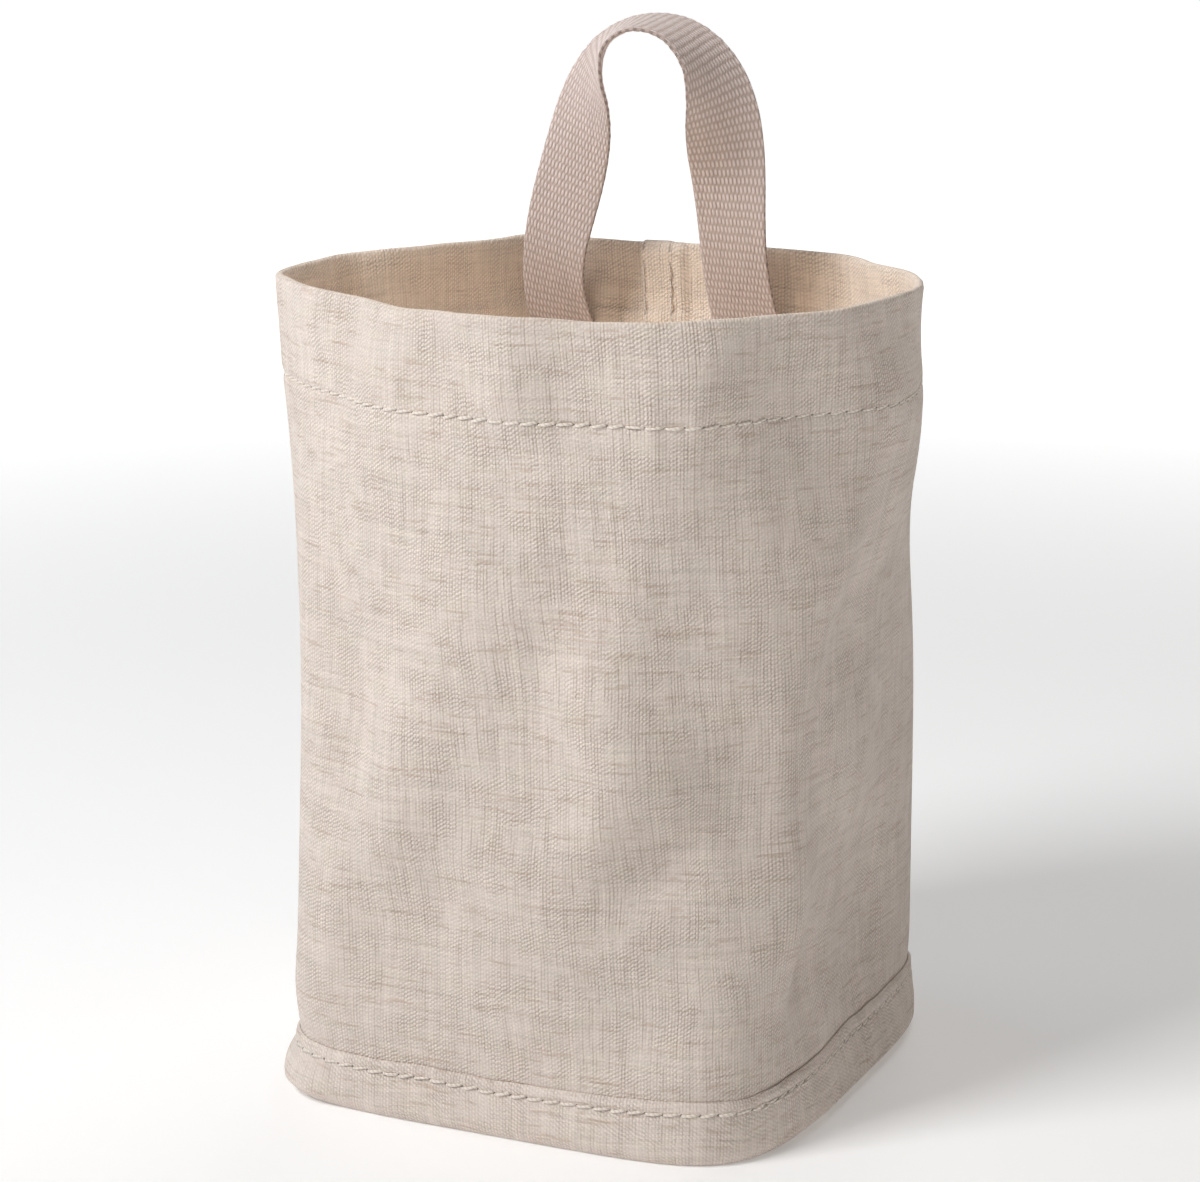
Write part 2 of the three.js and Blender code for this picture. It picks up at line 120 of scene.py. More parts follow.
# Soft dents and folds of the wall: (s, z, spread along s, spread along z, turn in degrees, height outwards).
# s is measured round the wall from the back seam, over the left side to the front.
DENTS = [
    (331, 179, 20, 49, 72, 3.7), (290, 65, 17, 57, -31, -4.1), (257, 194, 18, 56, 10, -4.8), (268, 100, 22, 11, -50, 4.7),
    (191, 101, 12, 54, 7, -4.3), (252, 127, 10, 25, -20, -3.4), (195, 60, 13, 53, -23, 4.7), (322, 37, 20, 13, 51, -4.8),
    (315, 179, 14, 18, 4, -4.3), (288, 90, 22, 32, -24, -1.4), (290, 188, 12, 18, -26, 4.5), (182, 190, 8, 19, 73, 1.6),
    (250, 31, 8, 11, 120, 0.9), (246, 61, 13, 25, -118, 3.6), (220, 168, 9, 35, -4, -1.6), (312, 69, 9, 43, 3, 4.6),
    (201, 47, 15, 26, -48, -2.3), (276, 74, 9, 18, -53, -3.8), (353, 197, 14, 22, 47, -4.1), (323, 133, 9, 43, -24, 3.4),
    (260, 139, 19, 51, 102, 1.8), (245, 187, 9, 11, 172, 2.8), (348, 88, 18, 35, 51, 4.1), (195, 197, 13, 25, -26, -3.7),
    (359, 55, 23, 58, -8, -3.8), (237, 38, 12, 15, 71, 2.6), (260, 80, 15, 9, 79, 3.2), (287, 125, 15, 29, 1, -3.6),
    (320, 138, 15, 25, -45, 1.7), (327, 139, 8, 37, 103, 0.7), (233, 105, 15, 43, 15, 0.5), (231, 181, 14, 42, 19, -3.4),
    (355, 127, 17, 44, -79, -1.5), (303, 45, 13, 28, 36, -0.5), (229, 194, 8, 47, -113, -0.9), (207, 71, 15, 55, -13, 2.0),
    # the back and the left side, which the photo doesn't show
    (60, 88, 22, 58, 24, -1.6), (88, 60, 15, 44, 30, 1.5), (118, 96, 17, 52, -20, -1.7), (128, 44, 16, 24, 60, 1.2),
    (104, 132, 20, 26, 80, 0.9), (428, 82, 17, 50, 18, -1.6), (452, 52, 20, 26, -65, 1.3), (398, 104, 24, 34, 0, 0.8), (160, 38, 14, 14, 0, -0.9),
    (24, 60, 22, 36, -50, 1.0), (462, 128, 20, 40, 25, -0.9),
]

# ------------------------------------------------------- the wall's shape ----

STEPS = 720


def evenly(points):
    closed = np.vstack([points, points[:1]])
    run = np.r_[0, np.cumsum(np.linalg.norm(np.diff(closed, axis=0), axis=1))]
    at = np.arange(STEPS) / STEPS * run[-1]
    return np.stack([np.interp(at, run, closed[:, 0]), np.interp(at, run, closed[:, 1])], -1), run[-1]


def smooth_outline(p, k=16):
    n, out = len(p), []
    for i in range(n):
        a, b, c, d = p[(i - 1) % n], p[i], p[(i + 1) % n], p[(i + 2) % n]
        for j in range(k):
            t = j / k
            out.append(0.5 * (2 * b + (c - a) * t + (2 * a - 5 * b + 4 * c - d) * t * t + (3 * b - a - 3 * c + d) * t ** 3))
    return np.array(out)


def rounded_square(w, d, n, centre, seam_x, count=2880):
    t = np.arange(count) / count * 2 * np.pi + np.pi / 2
    c, s = np.cos(t), np.sin(t)
    p = np.stack([centre[0] + w / 2 * np.sign(c) * abs(c) ** (2 / n), centre[1] + d / 2 * np.sign(s) * abs(s) ** (2 / n)], -1)
    start = int(np.where(p[:, 1] > centre[1], abs(p[:, 0] - seam_x), 1e9).argmin())
    return np.roll(p, -start, axis=0)


RIM_LINE, GIRTH = evenly(smooth_outline(RIM))
FOOT_LINE, FOOT_GIRTH = evenly(rounded_square(*BASE))
PITCH_MM = GIRTH / STITCHES


def section(z):
    t = min(max((z - BAND_TOP) / (RIM_Z - BAND_TOP), 0), 1)
    sm = t * t * (3 - 2 * t)
    w = 0.5 * t ** 2.2 + 0.5 * sm ** 1.7
    line = FOOT_LINE * (1 - w) + RIM_LINE * w
    length = np.linalg.norm(np.roll(line, -1, axis=0) - line, axis=1).sum()
    centre = line.mean(0)
    line = centre + (line - centre) * (1 + 0.4 * ((FOOT_GIRTH * (1 - w) + GIRTH * w) / length - 1))
    swell = max(math.sin(math.pi * t), 0.0)
    x = line[:, 0] + 0.6 * swell
    left = swell ** 0.35 * 1.58 * math.exp(-((z - 110.4) / 52.8) ** 2) / (1 + np.exp((x + 30) / 9))
    rest = swell ** 0.35 * 1.02 * math.exp(-((z - 140.7) / 120.0) ** 2) / (1 + np.exp(-(x - 30) / 9))
    line = np.stack([x + left - rest, line[:, 1]], -1)
    t = np.roll(line, -3, axis=0) - np.roll(line, 3, axis=0)
    t /= np.linalg.norm(t, axis=1)[:, None]
    return line, np.stack([t[:, 1], -t[:, 0]], -1)


LEVELS = 201
SECTIONS = [section(float(z)) for z in range(LEVELS)]
LINES = np.array([a for a, _ in SECTIONS])
OUT = np.array([b for _, b in SECTIONS])


def ramp(x, a, b):
    t = np.clip((np.asarray(x, float) - a) / (b - a), 0, 1)
    return t * t * (3 - 2 * t)


def round_about(s):
    """s brought to within half the girth of zero, either side of the seam."""
    return (np.asarray(s, float) + GIRTH / 2) % GIRTH - GIRTH / 2


def waves(s, low, high, seed, falloff=0.0):
    """Smooth unevenness round the bag, about 1 high, with low to high waves to one turn."""
    rng = np.random.RandomState(seed)
    total, power = np.zeros(np.shape(s)), 0.0
    for k in range(low, high + 1):
        size, phase = rng.uniform(0.4, 1.0) * k ** -falloff, rng.uniform(0, 2 * np.pi)
        total = total + size * np.cos(2 * np.pi * k * np.asarray(s) / GIRTH + phase)
        power += size * size / 2
    return total / math.sqrt(power)


def soft(s, z):
    """How far the wall stands out from its mean shape, in millimetres."""
    s, z = np.broadcast_arrays(np.asarray(s, float), np.asarray(z, float))
    out = np.zeros(s.shape)
    for s0, z0, across, along, turn, height in DENTS:
        ds, dz = round_about(s - s0), z - z0
        c, q = math.cos(math.radians(turn)), math.sin(math.radians(turn))
        out += height * np.exp(-((ds * c + dz * q) / across) ** 2 - ((dz * c - ds * q) / along) ** 2)
    drift = np.sin(z / 31.0 + 1.2 * waves(s, 2, 6, 11))
    out += 0.14 * drift * waves(s, 5, 17, 3, 0.4) + 0.10 * np.sin(z / 17.0 + 2.0 * waves(s, 3, 9, 12)) * waves(s, 9, 30, 4, 0.4)
    return out * ramp(z, 11, 34) - TUCK * (1 - ramp(z, 9, 27))


def on_wall(s, z, inward):
    """Points s round the wall from the seam, at height z, inward millimetres inside the middle of the cloth."""
    s, z, inward = np.broadcast_arrays(np.asarray(s, float), np.asarray(z, float), np.asarray(inward, float))
    f = (s / GIRTH) % 1.0 * STEPS
    i = np.floor(f).astype(int) % STEPS
    a = (f - np.floor(f))[..., None]
    j = (i + 1) % STEPS
    g = np.clip(z, 0, RIM_Z)
    k = np.minimum(np.floor(g).astype(int), LEVELS - 2)
    b = (g - k)[..., None]

    def read(table):
        low = table[k, i] * (1 - a) + table[k, j] * a
        high = table[k + 1, i] * (1 - a) + table[k + 1, j] * a
        return low * (1 - b) + high * b

    p, n = read(LINES), read(OUT)
    n = n / np.linalg.norm(n, axis=-1, keepdims=True)
    p = p - n * (inward - soft(s, g))[..., None]
    return np.concatenate([p, z[..., None]], -1)


FLARE_AT = np.zeros(STEPS)
_n = OUT[5]
_p = LINES[5] - TUCK * _n
_low, _high = np.zeros(STEPS), np.full(STEPS, 20.0)
for _ in range(40):
    _mid = (_low + _high) / 2
    _q = _p + _n * _mid[:, None]
    _in = abs(_q[:, 0] / (FLARE[0] / 2)) ** FLARE[2] + abs(_q[:, 1] / (FLARE[1] / 2)) ** FLARE[2] < 1
    _low, _high = np.where(_in, _mid, _low), np.where(_in, _high, _mid)
# the front left corner and the right side are pressed out further
FLARE_MORE = np.array([
    (0, 0.5), (150, 0.5), (168, 1.2), (176, 2.4), (182, 2.7), (186, 2.0), (190, 1.0), (195, 0.2), (220, 0.0), (250, 0.3),
    (285, 0.1), (295, -0.1), (305, 0.5), (314, 1.4), (322, 1.9), (332, 2.5), (345, 2.4), (378, 2.4), (392, 1.8), (405, 1.0),
    (425, 0.6), (450, 0.8), (479.7, 0.5),
])
FLARE_AT = np.maximum(_low, FLARE_LEAST) + np.interp(np.arange(STEPS) / STEPS * GIRTH, FLARE_MORE[:, 0], FLARE_MORE[:, 1])
FLARE_AT = np.convolve(np.r_[FLARE_AT[-8:], FLARE_AT, FLARE_AT[:8]], np.hanning(11) / np.hanning(11).sum(), "same")[8:-8]


def flare(s):
    return np.interp(np.asarray(s, float) % GIRTH, np.arange(STEPS + 1) / STEPS * GIRTH, np.r_[FLARE_AT, FLARE_AT[0]])


def band_rise(s):
    """How much higher than 12 mm the band reaches."""
    at = np.array([0, 40, 62, 125, 190, 250, 312, 372, 430, 455]) / 479.73 * GIRTH
    high = [2.8, 2.7, 2.6, 2.4, 2.5, 2.8, 4.4, 5.4, 5.0, 3.6]
    fine = np.interp(np.arange(960) / 960 * GIRTH, np.r_[at, GIRTH], np.r_[high, high[0]])
    kernel = np.hanning(81)
    fine = np.convolve(np.r_[fine[-80:], fine, fine[:80]], kernel / kernel.sum(), "same")[80:-80]
    return np.interp(np.asarray(s, float) % GIRTH, np.arange(961) / 960 * GIRTH, np.r_[fine, fine[0]])


# ------------------------------------------------------------ mesh makers ----


def new_object(name, vertices, faces, maps, marks=None, weld=None):
    """A smooth mesh from vertices in millimetres. maps: {UV name: one pair for each face corner}; marks: {name: a value for each vertex}."""
    mesh = bpy.data.meshes.new(name)
    co = (np.asarray(vertices, float) + SHIFT) * MM
    faces = np.asarray(faces, np.int32)
    count, size = faces.shape
    mesh.vertices.add(len(co))
    mesh.vertices.foreach_set("co", co.ravel())
    mesh.loops.add(count * size)
    mesh.loops.foreach_set("vertex_index", faces.ravel())
    mesh.polygons.add(count)
    mesh.polygons.foreach_set("loop_start", np.arange(count, dtype=np.int32) * size)
    mesh.polygons.foreach_set("use_smooth", np.ones(count, bool))
    for key, uv in maps.items():
        layer = mesh.uv_layers.new(name=key)
        layer.uv.foreach_set("vector", np.asarray(uv, np.float32).ravel())
    for key, value in (marks or {}).items():
        attribute = mesh.attributes.new(key, "FLOAT", "POINT")
        attribute.data.foreach_set("value", np.asarray(value, np.float32).ravel())
    mesh.update(calc_edges=True)
    mesh.validate(clean_customdata=False)
    obj = bpy.data.objects.new(name, mesh)
    bpy.context.scene.collection.objects.link(obj)
    if weld is not None:
        import bmesh

        bm = bmesh.new()
        bm.from_mesh(mesh)
        bm.verts.ensure_lookup_table()
        bmesh.ops.remove_doubles(bm, verts=[bm.verts[int(i)] for i in weld], dist=2e-7)
        bm.to_mesh(mesh)
        bm.free()
        mesh.polygons.foreach_set("use_smooth", np.ones(len(mesh.polygons), bool))
    return obj


def add_cap_faces(obj, rings):
    """Closes open ends: each ring is a list of vertex numbers in order."""
    import bmesh

    bm = bmesh.new()
    bm.from_mesh(obj.data)
    bm.verts.ensure_lookup_table()
    for ring in rings:
        bm.faces.new([bm.verts[int(i)] for i in ring]).smooth = True
    bm.to_mesh(obj.data)
    bm.free()


def strip(name, s, inward, z, thick, wrap, rows_to_points=on_wall, marks=None, uv_v=None):
    """A closed cloth strip. s, inward, z and thick are (rows, columns): the line through the middle of the cloth from one
    edge to the other. The thickness is zero along the first and last row, and along the end columns unless it wraps."""
    rows, columns = z.shape
    d_in, d_z = np.gradient(inward, axis=0), np.gradient(z, axis=0)
    length = np.maximum(np.hypot(d_in, d_z), 1e-9)
    n_in, n_z = -d_z / length, d_in / length  # left of the way from the first row to the last
    side = {}
    for key, sign in (("left", 1), ("right", -1)):
        side[key] = rows_to_points(s, z + sign * n_z * thick / 2, inward + sign * n_in * thick / 2)
    ring = np.concatenate([side["left"], side["right"][-2:0:-1]], 0)  # (2 rows - 2, columns, 3)
    count = ring.shape[0]
    row_of = np.r_[np.arange(rows), np.arange(rows - 2, 0, -1)]
    j = np.arange(count)
    spans = columns if wrap else columns - 1
    c = np.arange(spans)
    jj, cc = np.meshgrid(j, c, indexing="ij")
    j2, c2 = (jj + 1) % count, (cc + 1) % columns
    at = lambda a, b: a * columns + b
    faces = np.stack([at(jj, cc), at(jj, c2), at(j2, c2), at(j2, cc)], -1).reshape(-1, 4)
    run = np.r_[np.zeros((1, columns)), np.cumsum(np.hypot(np.diff(inward, axis=0), np.diff(z, axis=0)), 0)] if uv_v is None else uv_v
    s_flat = s[0] if s.ndim == 2 else s
    s_next = np.r_[s_flat[1:], s_flat[0] + GIRTH] if wrap else np.r_[s_flat[1:], s_flat[-1]]
    r1, r2 = row_of[jj], row_of[j2]
    left = jj < rows - 1
    r1 = np.where(left, jj, np.where(jj == rows - 1, rows - 1, r1))
    u1, u2 = s_flat[cc], s_next[cc]
    cloth = np.stack([np.stack([u1, run[r1, cc]], -1), np.stack([u2, run[r1, c2]], -1), np.stack([u2, run[r2, c2]], -1), np.stack([u1, run[r2, cc]], -1)], 2)
    whole_u, whole_v = s_flat[-1] + (GIRTH - s_flat[-1] if wrap else 0) - s_flat[0], run.max()
    bake = np.empty_like(cloth)
    bake[..., 0] = 0.004 + 0.992 * (cloth[..., 0] - s_flat[0]) / whole_u
    bake[..., 1] = np.where(left[..., None], 0.004, 0.504) + 0.492 * cloth[..., 1] / whole_v
    weld = None
    if not wrap:
        weld = np.r_[at(j, 0), at(j, columns - 1)]
    vertices = ring.reshape(-1, 3)
    values = {}
    for key, value in (marks or {}).items():
        values[key] = value[row_of].reshape(-1)
    depth = np.concatenate([inward + n_in * thick / 2, (inward - n_in * thick / 2)[-2:0:-1]], 0)
    # inner marks the inside face of the cloth, which the material paints lighter and warmer as painted light
    values["inner"] = ramp(depth.reshape(-1), -0.05, 0.42)
    # faces point outwards: check one face against the side it lies on
    q = vertices[faces[faces.shape[0] // 4]]
    normal = np.cross(q[1] - q[0], q[3] - q[0])
    if normal @ (side["left"] - side["right"])[row_of[faces.shape[0] // 4 // spans], faces[faces.shape[0] // 4][0] % columns] < 0:
        faces, cloth, bake = faces[:, ::-1], cloth[:, :, ::-1], bake[:, :, ::-1]
    obj = new_object(name, vertices, faces, {"cloth": cloth.reshape(-1, 2), "OFBake": bake.reshape(-1, 2)}, values, weld)
    return obj, side


def grid_normals(p, wrap):
    """Unit normals of a (rows, columns, 3) grid of points."""
    down = np.gradient(p, axis=0)
    if wrap:
        along = np.roll(p, -1, axis=1) - np.roll(p, 1, axis=1)
    else:
        along = np.gradient(p, axis=1)
    n = np.cross(along, down)
    return n / np.maximum(np.linalg.norm(n, axis=-1, keepdims=True), 1e-9)


def thread_row(name, holes, normals, seed, closed=False, radius=0.33, lift=0.50, sink=-0.22, slant=0.5, sections=9, sides=8):
    """Points for stitches between neighbouring holes, and each stitch's length: each a plump length of thread whose
    ends dive into the cloth.
    """
    rng = np.random.RandomState(seed)
    a = holes if closed else holes[:-1]
    b = np.roll(holes, -1, axis=0) if closed else holes[1:]
    na = normals if closed else normals[:-1]
    nb = np.roll(normals, -1, axis=0) if closed else normals[1:]
    n = len(a)
    t = np.linspace(0.03, 0.97, sections)
    along = (b - a) / np.linalg.norm(b - a, axis=1, keepdims=True)
    normal = (na + nb) / np.linalg.norm(na + nb, axis=1, keepdims=True)
    across = np.cross(normal, along)
    across /= np.linalg.norm(across, axis=1, keepdims=True)
    lean = slant * (1 + 0.35 * rng.randn(n))[:, None]
    rise = (lift * (1 + 0.12 * rng.randn(n)))[:, None]
    bow = (0.05 * rng.randn(n))[:, None]
    height = sink + (rise - sink) * np.sin(np.pi * t)[None] ** 0.55
    sideways = lean * np.sin(np.pi * (t - 0.5))[None] * 0.5 + bow * np.sin(np.pi * t)[None]
    centre = (a[:, None] * (1 - t)[None, :, None] + b[:, None] * t[None, :, None]
              + normal[:, None] * height[..., None] + across[:, None] * sideways[..., None])
    tangent = np.gradient(centre, axis=1)
    tangent /= np.linalg.norm(tangent, axis=2, keepdims=True)
    second = np.cross(tangent, across[:, None])
    second /= np.linalg.norm(second, axis=2, keepdims=True)
    first = np.cross(second, tangent)
    r = radius * (1 + 0.06 * rng.randn(n))[:, None] * (0.72 + 0.28 * np.sin(np.pi * t)[None])
    ang = np.arange(sides) / sides * 2 * np.pi
    twist = 1 + 0.07 * np.cos(2 * (ang[None, None, :] - 2.2 * np.pi * t[None, :, None] + rng.uniform(0, 6.28, n)[:, None, None]))
    points = centre[:, :, None] + r[..., None, None] * twist[..., None] * (
        np.cos(ang)[None, None, :, None] * first[:, :, None] * 1.08 + np.sin(ang)[None, None, :, None] * second[:, :, None] * 0.9)
    return points, np.linalg.norm(b - a, axis=1)


def sunk(s, low, high):
    """A value for each stitch: low where the thread is drawn into the cloth, high where it stands out."""
    return high + (low - high) * np.maximum(ramp(s, 296, 312), 1 - ramp(s, 176, 206))


def thread_object(name, rows):
    """One mesh from several sets of stitches."""
    vertices, faces, cloth, bake, caps = [], [], [], [], []
    total = sum(len(p) for p, _ in rows)
    wide = int(math.ceil(math.sqrt(total * 3)))
    base, number = 0, 0
    for points, length in rows:
        n, sections, sides, _ = points.shape
        index = np.arange(n * sections * sides).reshape(n, sections, sides) + base
        k, m = np.meshgrid(np.arange(sections - 1), np.arange(sides), indexing="ij")
        quad = np.stack([index[:, k, m], index[:, k, (m + 1) % sides], index[:, k + 1, (m + 1) % sides], index[:, k + 1, m]], -1)
        faces.append(quad.reshape(-1, 4))
        u = np.stack([m, m + 1, m + 1, m], -1) / sides
        v = np.stack([k, k, k + 1, k + 1], -1) / (sections - 1)
        order = np.arange(number, number + n)
        cloth.append(np.stack([np.broadcast_to(u * 1.9, (n,) + u.shape), v[None] * length[:, None, None, None] + 7.3 * order[:, None, None, None]], -1).reshape(-1, 2))
        cell = np.stack([order % wide, order // wide], -1)
        bake.append(np.stack([(cell[:, 0][:, None, None, None] + 0.05 + 0.9 * u[None]) / wide,
                              (cell[:, 1][:, None, None, None] + 0.05 + 0.9 * v[None]) / (total // wide + 1)], -1).reshape(-1, 2))
        for i in range(n):
            caps.append(index[i, 0, ::-1])
            caps.append(index[i, -1])
        vertices.append(points.reshape(-1, 3))
        base += n * sections * sides
        number += n
    vertices, faces = np.concatenate(vertices), np.concatenate(faces)
    q = vertices[faces[0]]
    normal = np.cross(q[1] - q[0], q[3] - q[0])
    middle = vertices[: rows[0][0].shape[2]].mean(0)
    flip = normal @ (q[0] - middle) < 0
    cloth, bake = np.concatenate(cloth), np.concatenate(bake)
    if flip:
        faces = faces[:, ::-1]
        cloth = cloth.reshape(-1, 4, 2)[:, ::-1].reshape(-1, 2)
        bake = bake.reshape(-1, 4, 2)[:, ::-1].reshape(-1, 2)
        caps = [c[::-1] for c in caps]
    obj = new_object(name, vertices, faces, {"cloth": cloth, "OFBake": bake})
    add_cap_faces(obj, caps)
    return obj


# -------------------------------------------------------------- body panel ----

HOLE = np.arange(STITCHES) * PITCH_MM  # needle holes of the hem row and the band row


def near_hole(s, width=0.5, shift=0.0):
    d = (np.asarray(s, float) - shift + PITCH_MM / 2) % PITCH_MM - PITCH_MM / 2
    return np.exp(-(d / width) ** 2)


def hem_pinch(s, z):
    """How far the hem's thread pulls the cloth in, at each point."""
    line = 0.20 + 0.06 * waves(s, 4, 14, 21) + 0.28 * ramp(s, 96, 112) * (1 - ramp(s, 166, 186))
    row = np.exp(-((z - HEM_STITCH_Z) / 0.80) ** 2)
    dot = np.exp(-((z - HEM_STITCH_Z) / 0.62) ** 2)
    puff = np.exp(-((abs(z - HEM_STITCH_Z) - 3.4) / 2.2) ** 2)
    ripple = np.exp(-(abs(z - HEM_STITCH_Z) / 7.5) ** 1.4)
    return (line * row + 0.26 * near_hole(s) * dot - 0.09 * puff
            + 0.07 * ripple * waves(s, 26, 60, 22) + 0.045 * ripple * np.cos(2 * np.pi * s / PITCH_MM))


def hem_depth(s, z):
    depth = LAYER + 0.35 * ramp(z, 190, 197) + (LAYER + 0.5) * ramp(s, GIRTH - 4, GIRTH - 0.7)
    for centre in (STRAP_LEFT_AT, GIRTH + STRAP_RIGHT_AT):
        depth = depth + 1.75 * (1 - ramp(abs(s - centre), 9.9, 14.5)) * (1 - ramp(z, 185.5, 193))
    return depth


def make_body():
    cap = CLOTH / 2
    columns = [(0.0, 0.0), (0.06, 0.5), (0.2, 0.87), (cap, 1.0)]
    for i in range(STITCHES + 3):
        for d in (0.0, 0.62, 2.16, 3.70):
            s = i * PITCH_MM + d
            if 0.7 < s < GIRTH + SEAM_LAP - 0.9:
                columns.append((s, 1.0))
    end = GIRTH + SEAM_LAP
    columns += [(end - 0.8, 1.0), (end - 0.35, 0.87), (end - 0.1, 0.5), (end, 0.0)]
    for extra in (GIRTH - 3.3, GIRTH - 2.2, GIRTH - 1.2, GIRTH - 0.5):
        if min(abs(extra - c[0]) for c in columns) > 0.35:
            columns.append((extra, 1.0))
    columns.sort()
    s = np.array([c[0] for c in columns])
    fit = np.array([c[1] for c in columns])

    outer = [1.6, 1.68, 1.85, 2.2, 5.0, 9.0, 12.4]
    outer += list(np.linspace(15.4, 168.0, 52))
    outer += [170.0, 171.6, 172.8, 173.7, 174.4, 175.0, 175.5, 176.0, 176.5, 177.0, 177.6, 178.4, 179.4, 180.8, 182.8]
    outer += [185.6, 188.4, 191.2, 194.0, 196.4]
    inner = [196.4, 194.2, 191.8, 189.4, 187.0, 184.6, 182.7, 182.0, 181.3, 179.8, 178.0, 177.0, 176.4, 176.0, 175.6, 175.0, 174.2, 173.65, 173.4, 173.3]
    arc = np.radians([12, 36, 62, 90, 118, 144, 168])
    lap = ramp(s, GIRTH - 4, GIRTH - 0.7)
    a = -LAYER * lap
    felled = ramp(s, GIRTH + 0.6, GIRTH + 2.4)  # the lap's raw edge is folded under, so it is two layers thick
    a = a - 0.3 * felled
    rows_in, rows_z, rows_t = [], [], []
    top_z = RIM_Z + 0.26 * waves(s, 3, 9, 31) + 0.035 * waves(s, 18, 34, 32) + 0.25 * lap
    for z in outer:
        rows_in.append(a + hem_pinch(s, z))
        rows_z.append(np.full_like(s, z) + (top_z - RIM_Z) * ramp(z, 178, 199))
        rows_t.append(np.full_like(s, CLOTH))
    b_top = hem_depth(s, 198.0)
    mid, radius = (a + b_top) / 2, (b_top - a) / 2
    centre_z = top_z - CLOTH / 2 - radius
    for t in arc:
        bulge = 1 + 0.10 * math.sin(t) ** 2
        rows_in.append(mid - radius * math.cos(t) * bulge)
        rows_z.append(centre_z + radius * math.sin(t))
        rows_t.append(np.full_like(s, CLOTH))
    for z in inner:
        turned = 1 - ramp(z, 181.2, 182.6)  # the hem's raw edge is turned in
        rows_in.append(hem_depth(s, z) + 0.35 * turned - 0.6 * hem_pinch(s, z))
        rows_z.append(np.full_like(s, z) + (top_z - RIM_Z) * ramp(z, 178, 199) + (0.22 * waves(s, 6, 22, 33)) * (1 - ramp(z, 173.3, 177)))
        rows_t.append(np.full_like(s, CLOTH * (1 + 0.8 * turned)))
    inward, z, thick = np.array(rows_in), np.array(rows_z), np.array(rows_t)
    thick = thick + 0.6 * felled[None] * (np.arange(len(thick)) >= 0)[:, None]
    for row, share in ((0, 0.0), (1, 0.5), (2, 0.87), (-1, 0.0), (-2, 0.5), (-3, 0.87)):
        thick[row] *= share
    thick = thick * fit[None]
    s2 = np.broadcast_to(s[None], z.shape).copy()
    at = outer.index(176.0)
    inner_at = len(outer) + len(arc) + inner.index(176.0)
    from_row = np.concatenate([np.array(outer) - HEM_STITCH_Z, np.full(len(arc), 20.0), np.array(inner) - HEM_STITCH_Z])
    from_row = np.broadcast_to(from_row[:, None], z.shape)
    obj, side = strip("body_cloth", s2, inward, z, thick, False, marks={"row": from_row})
    return obj, side, s, at, inner_at


body, body_side, body_s, hem_row, hem_row_inside = make_body()

# --------------------------------------------------------------- foot band ----


def over_lap(s):
    d = np.asarray(s, float) % GIRTH
    return 1 - np.minimum(ramp(d, 10.5, 14.5), ramp(GIRTH - d, 0.1, 6.5))


def make_band():
    s = np.concatenate([HOLE + d for d in (0.0, 0.62, 2.16, 3.70)])
    s.sort()
    f = flare(s)
    lap = over_lap(s)
    uneven = 0.22 * waves(s, 4, 16, 41) + 0.08 * waves(s, 20, 45, 42)
    ripple = waves(s, 30, 62, 43)
    row = []

    def add(inward, z, thick=1.0):
        row.append((inward + 0 * s, z + 0 * s, thick + 0 * s))

    inner = -CLOTH / 2 - 0.01 - BAND_CLOTH / 2
    add(inner, 4.4, 0.0); add(inner, 4.5, 0.5); add(inner, 4.75, 0.87); add(inner, 5.2)
    for z in (7.0, 9.4, 10.6, 11.45):
        add(inner, z)
    for o, z in ((-0.10, 12.0), (-0.07, 12.22), (0.03, 12.32), (0.15, 12.24), (0.26, 11.98)):
        add(inner - o, z, 0.6)
    out = inner - 0.52
    more = f - FLARE_LEAST
    for z, puff, pin in ((11.45, 0.06, 0.0), (10.9, 0.12, 0.05), (10.35, 0.10, 0.25), (9.9, 0.04, 0.6), (9.4, 0.0, 1.0), (8.9, 0.04, 0.6), (8.4, 0.14, 0.25), (7.9, 0.26, 0.0)):
        pinch = pin * (0.16 + 0.16 * near_hole(s, 0.55))
        add(out - puff - more * 0.28 * (11.45 - z) / 3.5 + pinch - 0.05 * ripple * (1 - pin), z)
    last_in = out - 0.26 - more * 0.28
    for z, share in ((7.3, 0.22), (6.6, 0.45), (5.9, 0.67), (5.2, 0.84), (4.5, 0.95), (3.8, 1.0), (3.15, 0.985)):
        add(last_in * (1 - share) - (f - 0.25 + 0.12) * share - 0.09 * ripple * math.sin(math.pi * min(share, 1.0)), z)
    width = f + 0.3
    for q, z in ((0.14, 2.5), (0.25, 1.9), (0.38, 1.38), (0.53, 0.92), (0.70, 0.56), (0.86, 0.38)):
        add(-(f - 0.12) + q * width, z)
    add(0.27, 0.34); add(0.37, 0.34, 0.87); add(0.45, 0.34, 0.5); add(0.5, 0.34, 0.0)
    inward = np.array([r[0] for r in row])
    z = np.array([r[1] for r in row])
    thick = np.array([r[2] for r in row]) * BAND_CLOTH
    from_row = z - BAND_STITCH_Z
    from_row[:13] = 20.0
    from_row[25:] = 20.0
    shift = np.where(inward < 0, -(LAYER + 0.3) * lap[None] * np.clip(-inward / 0.6, 0, 1), 0.0)
    z = z + uneven[None] * ramp(z, 5.0, 10.5) + band_rise(s)[None] * ramp(z, 3.0, 9.2)
    inward = inward + shift
    s2 = np.broadcast_to(s[None], z.shape).copy()
    at = 17
    obj, side = strip("band_cloth", s2, inward, z, thick, True, marks={"row": from_row})
    return obj, side, s, at


band, band_side, band_s, band_row = make_band()

# -------------------------------------------------------------- base panel ----


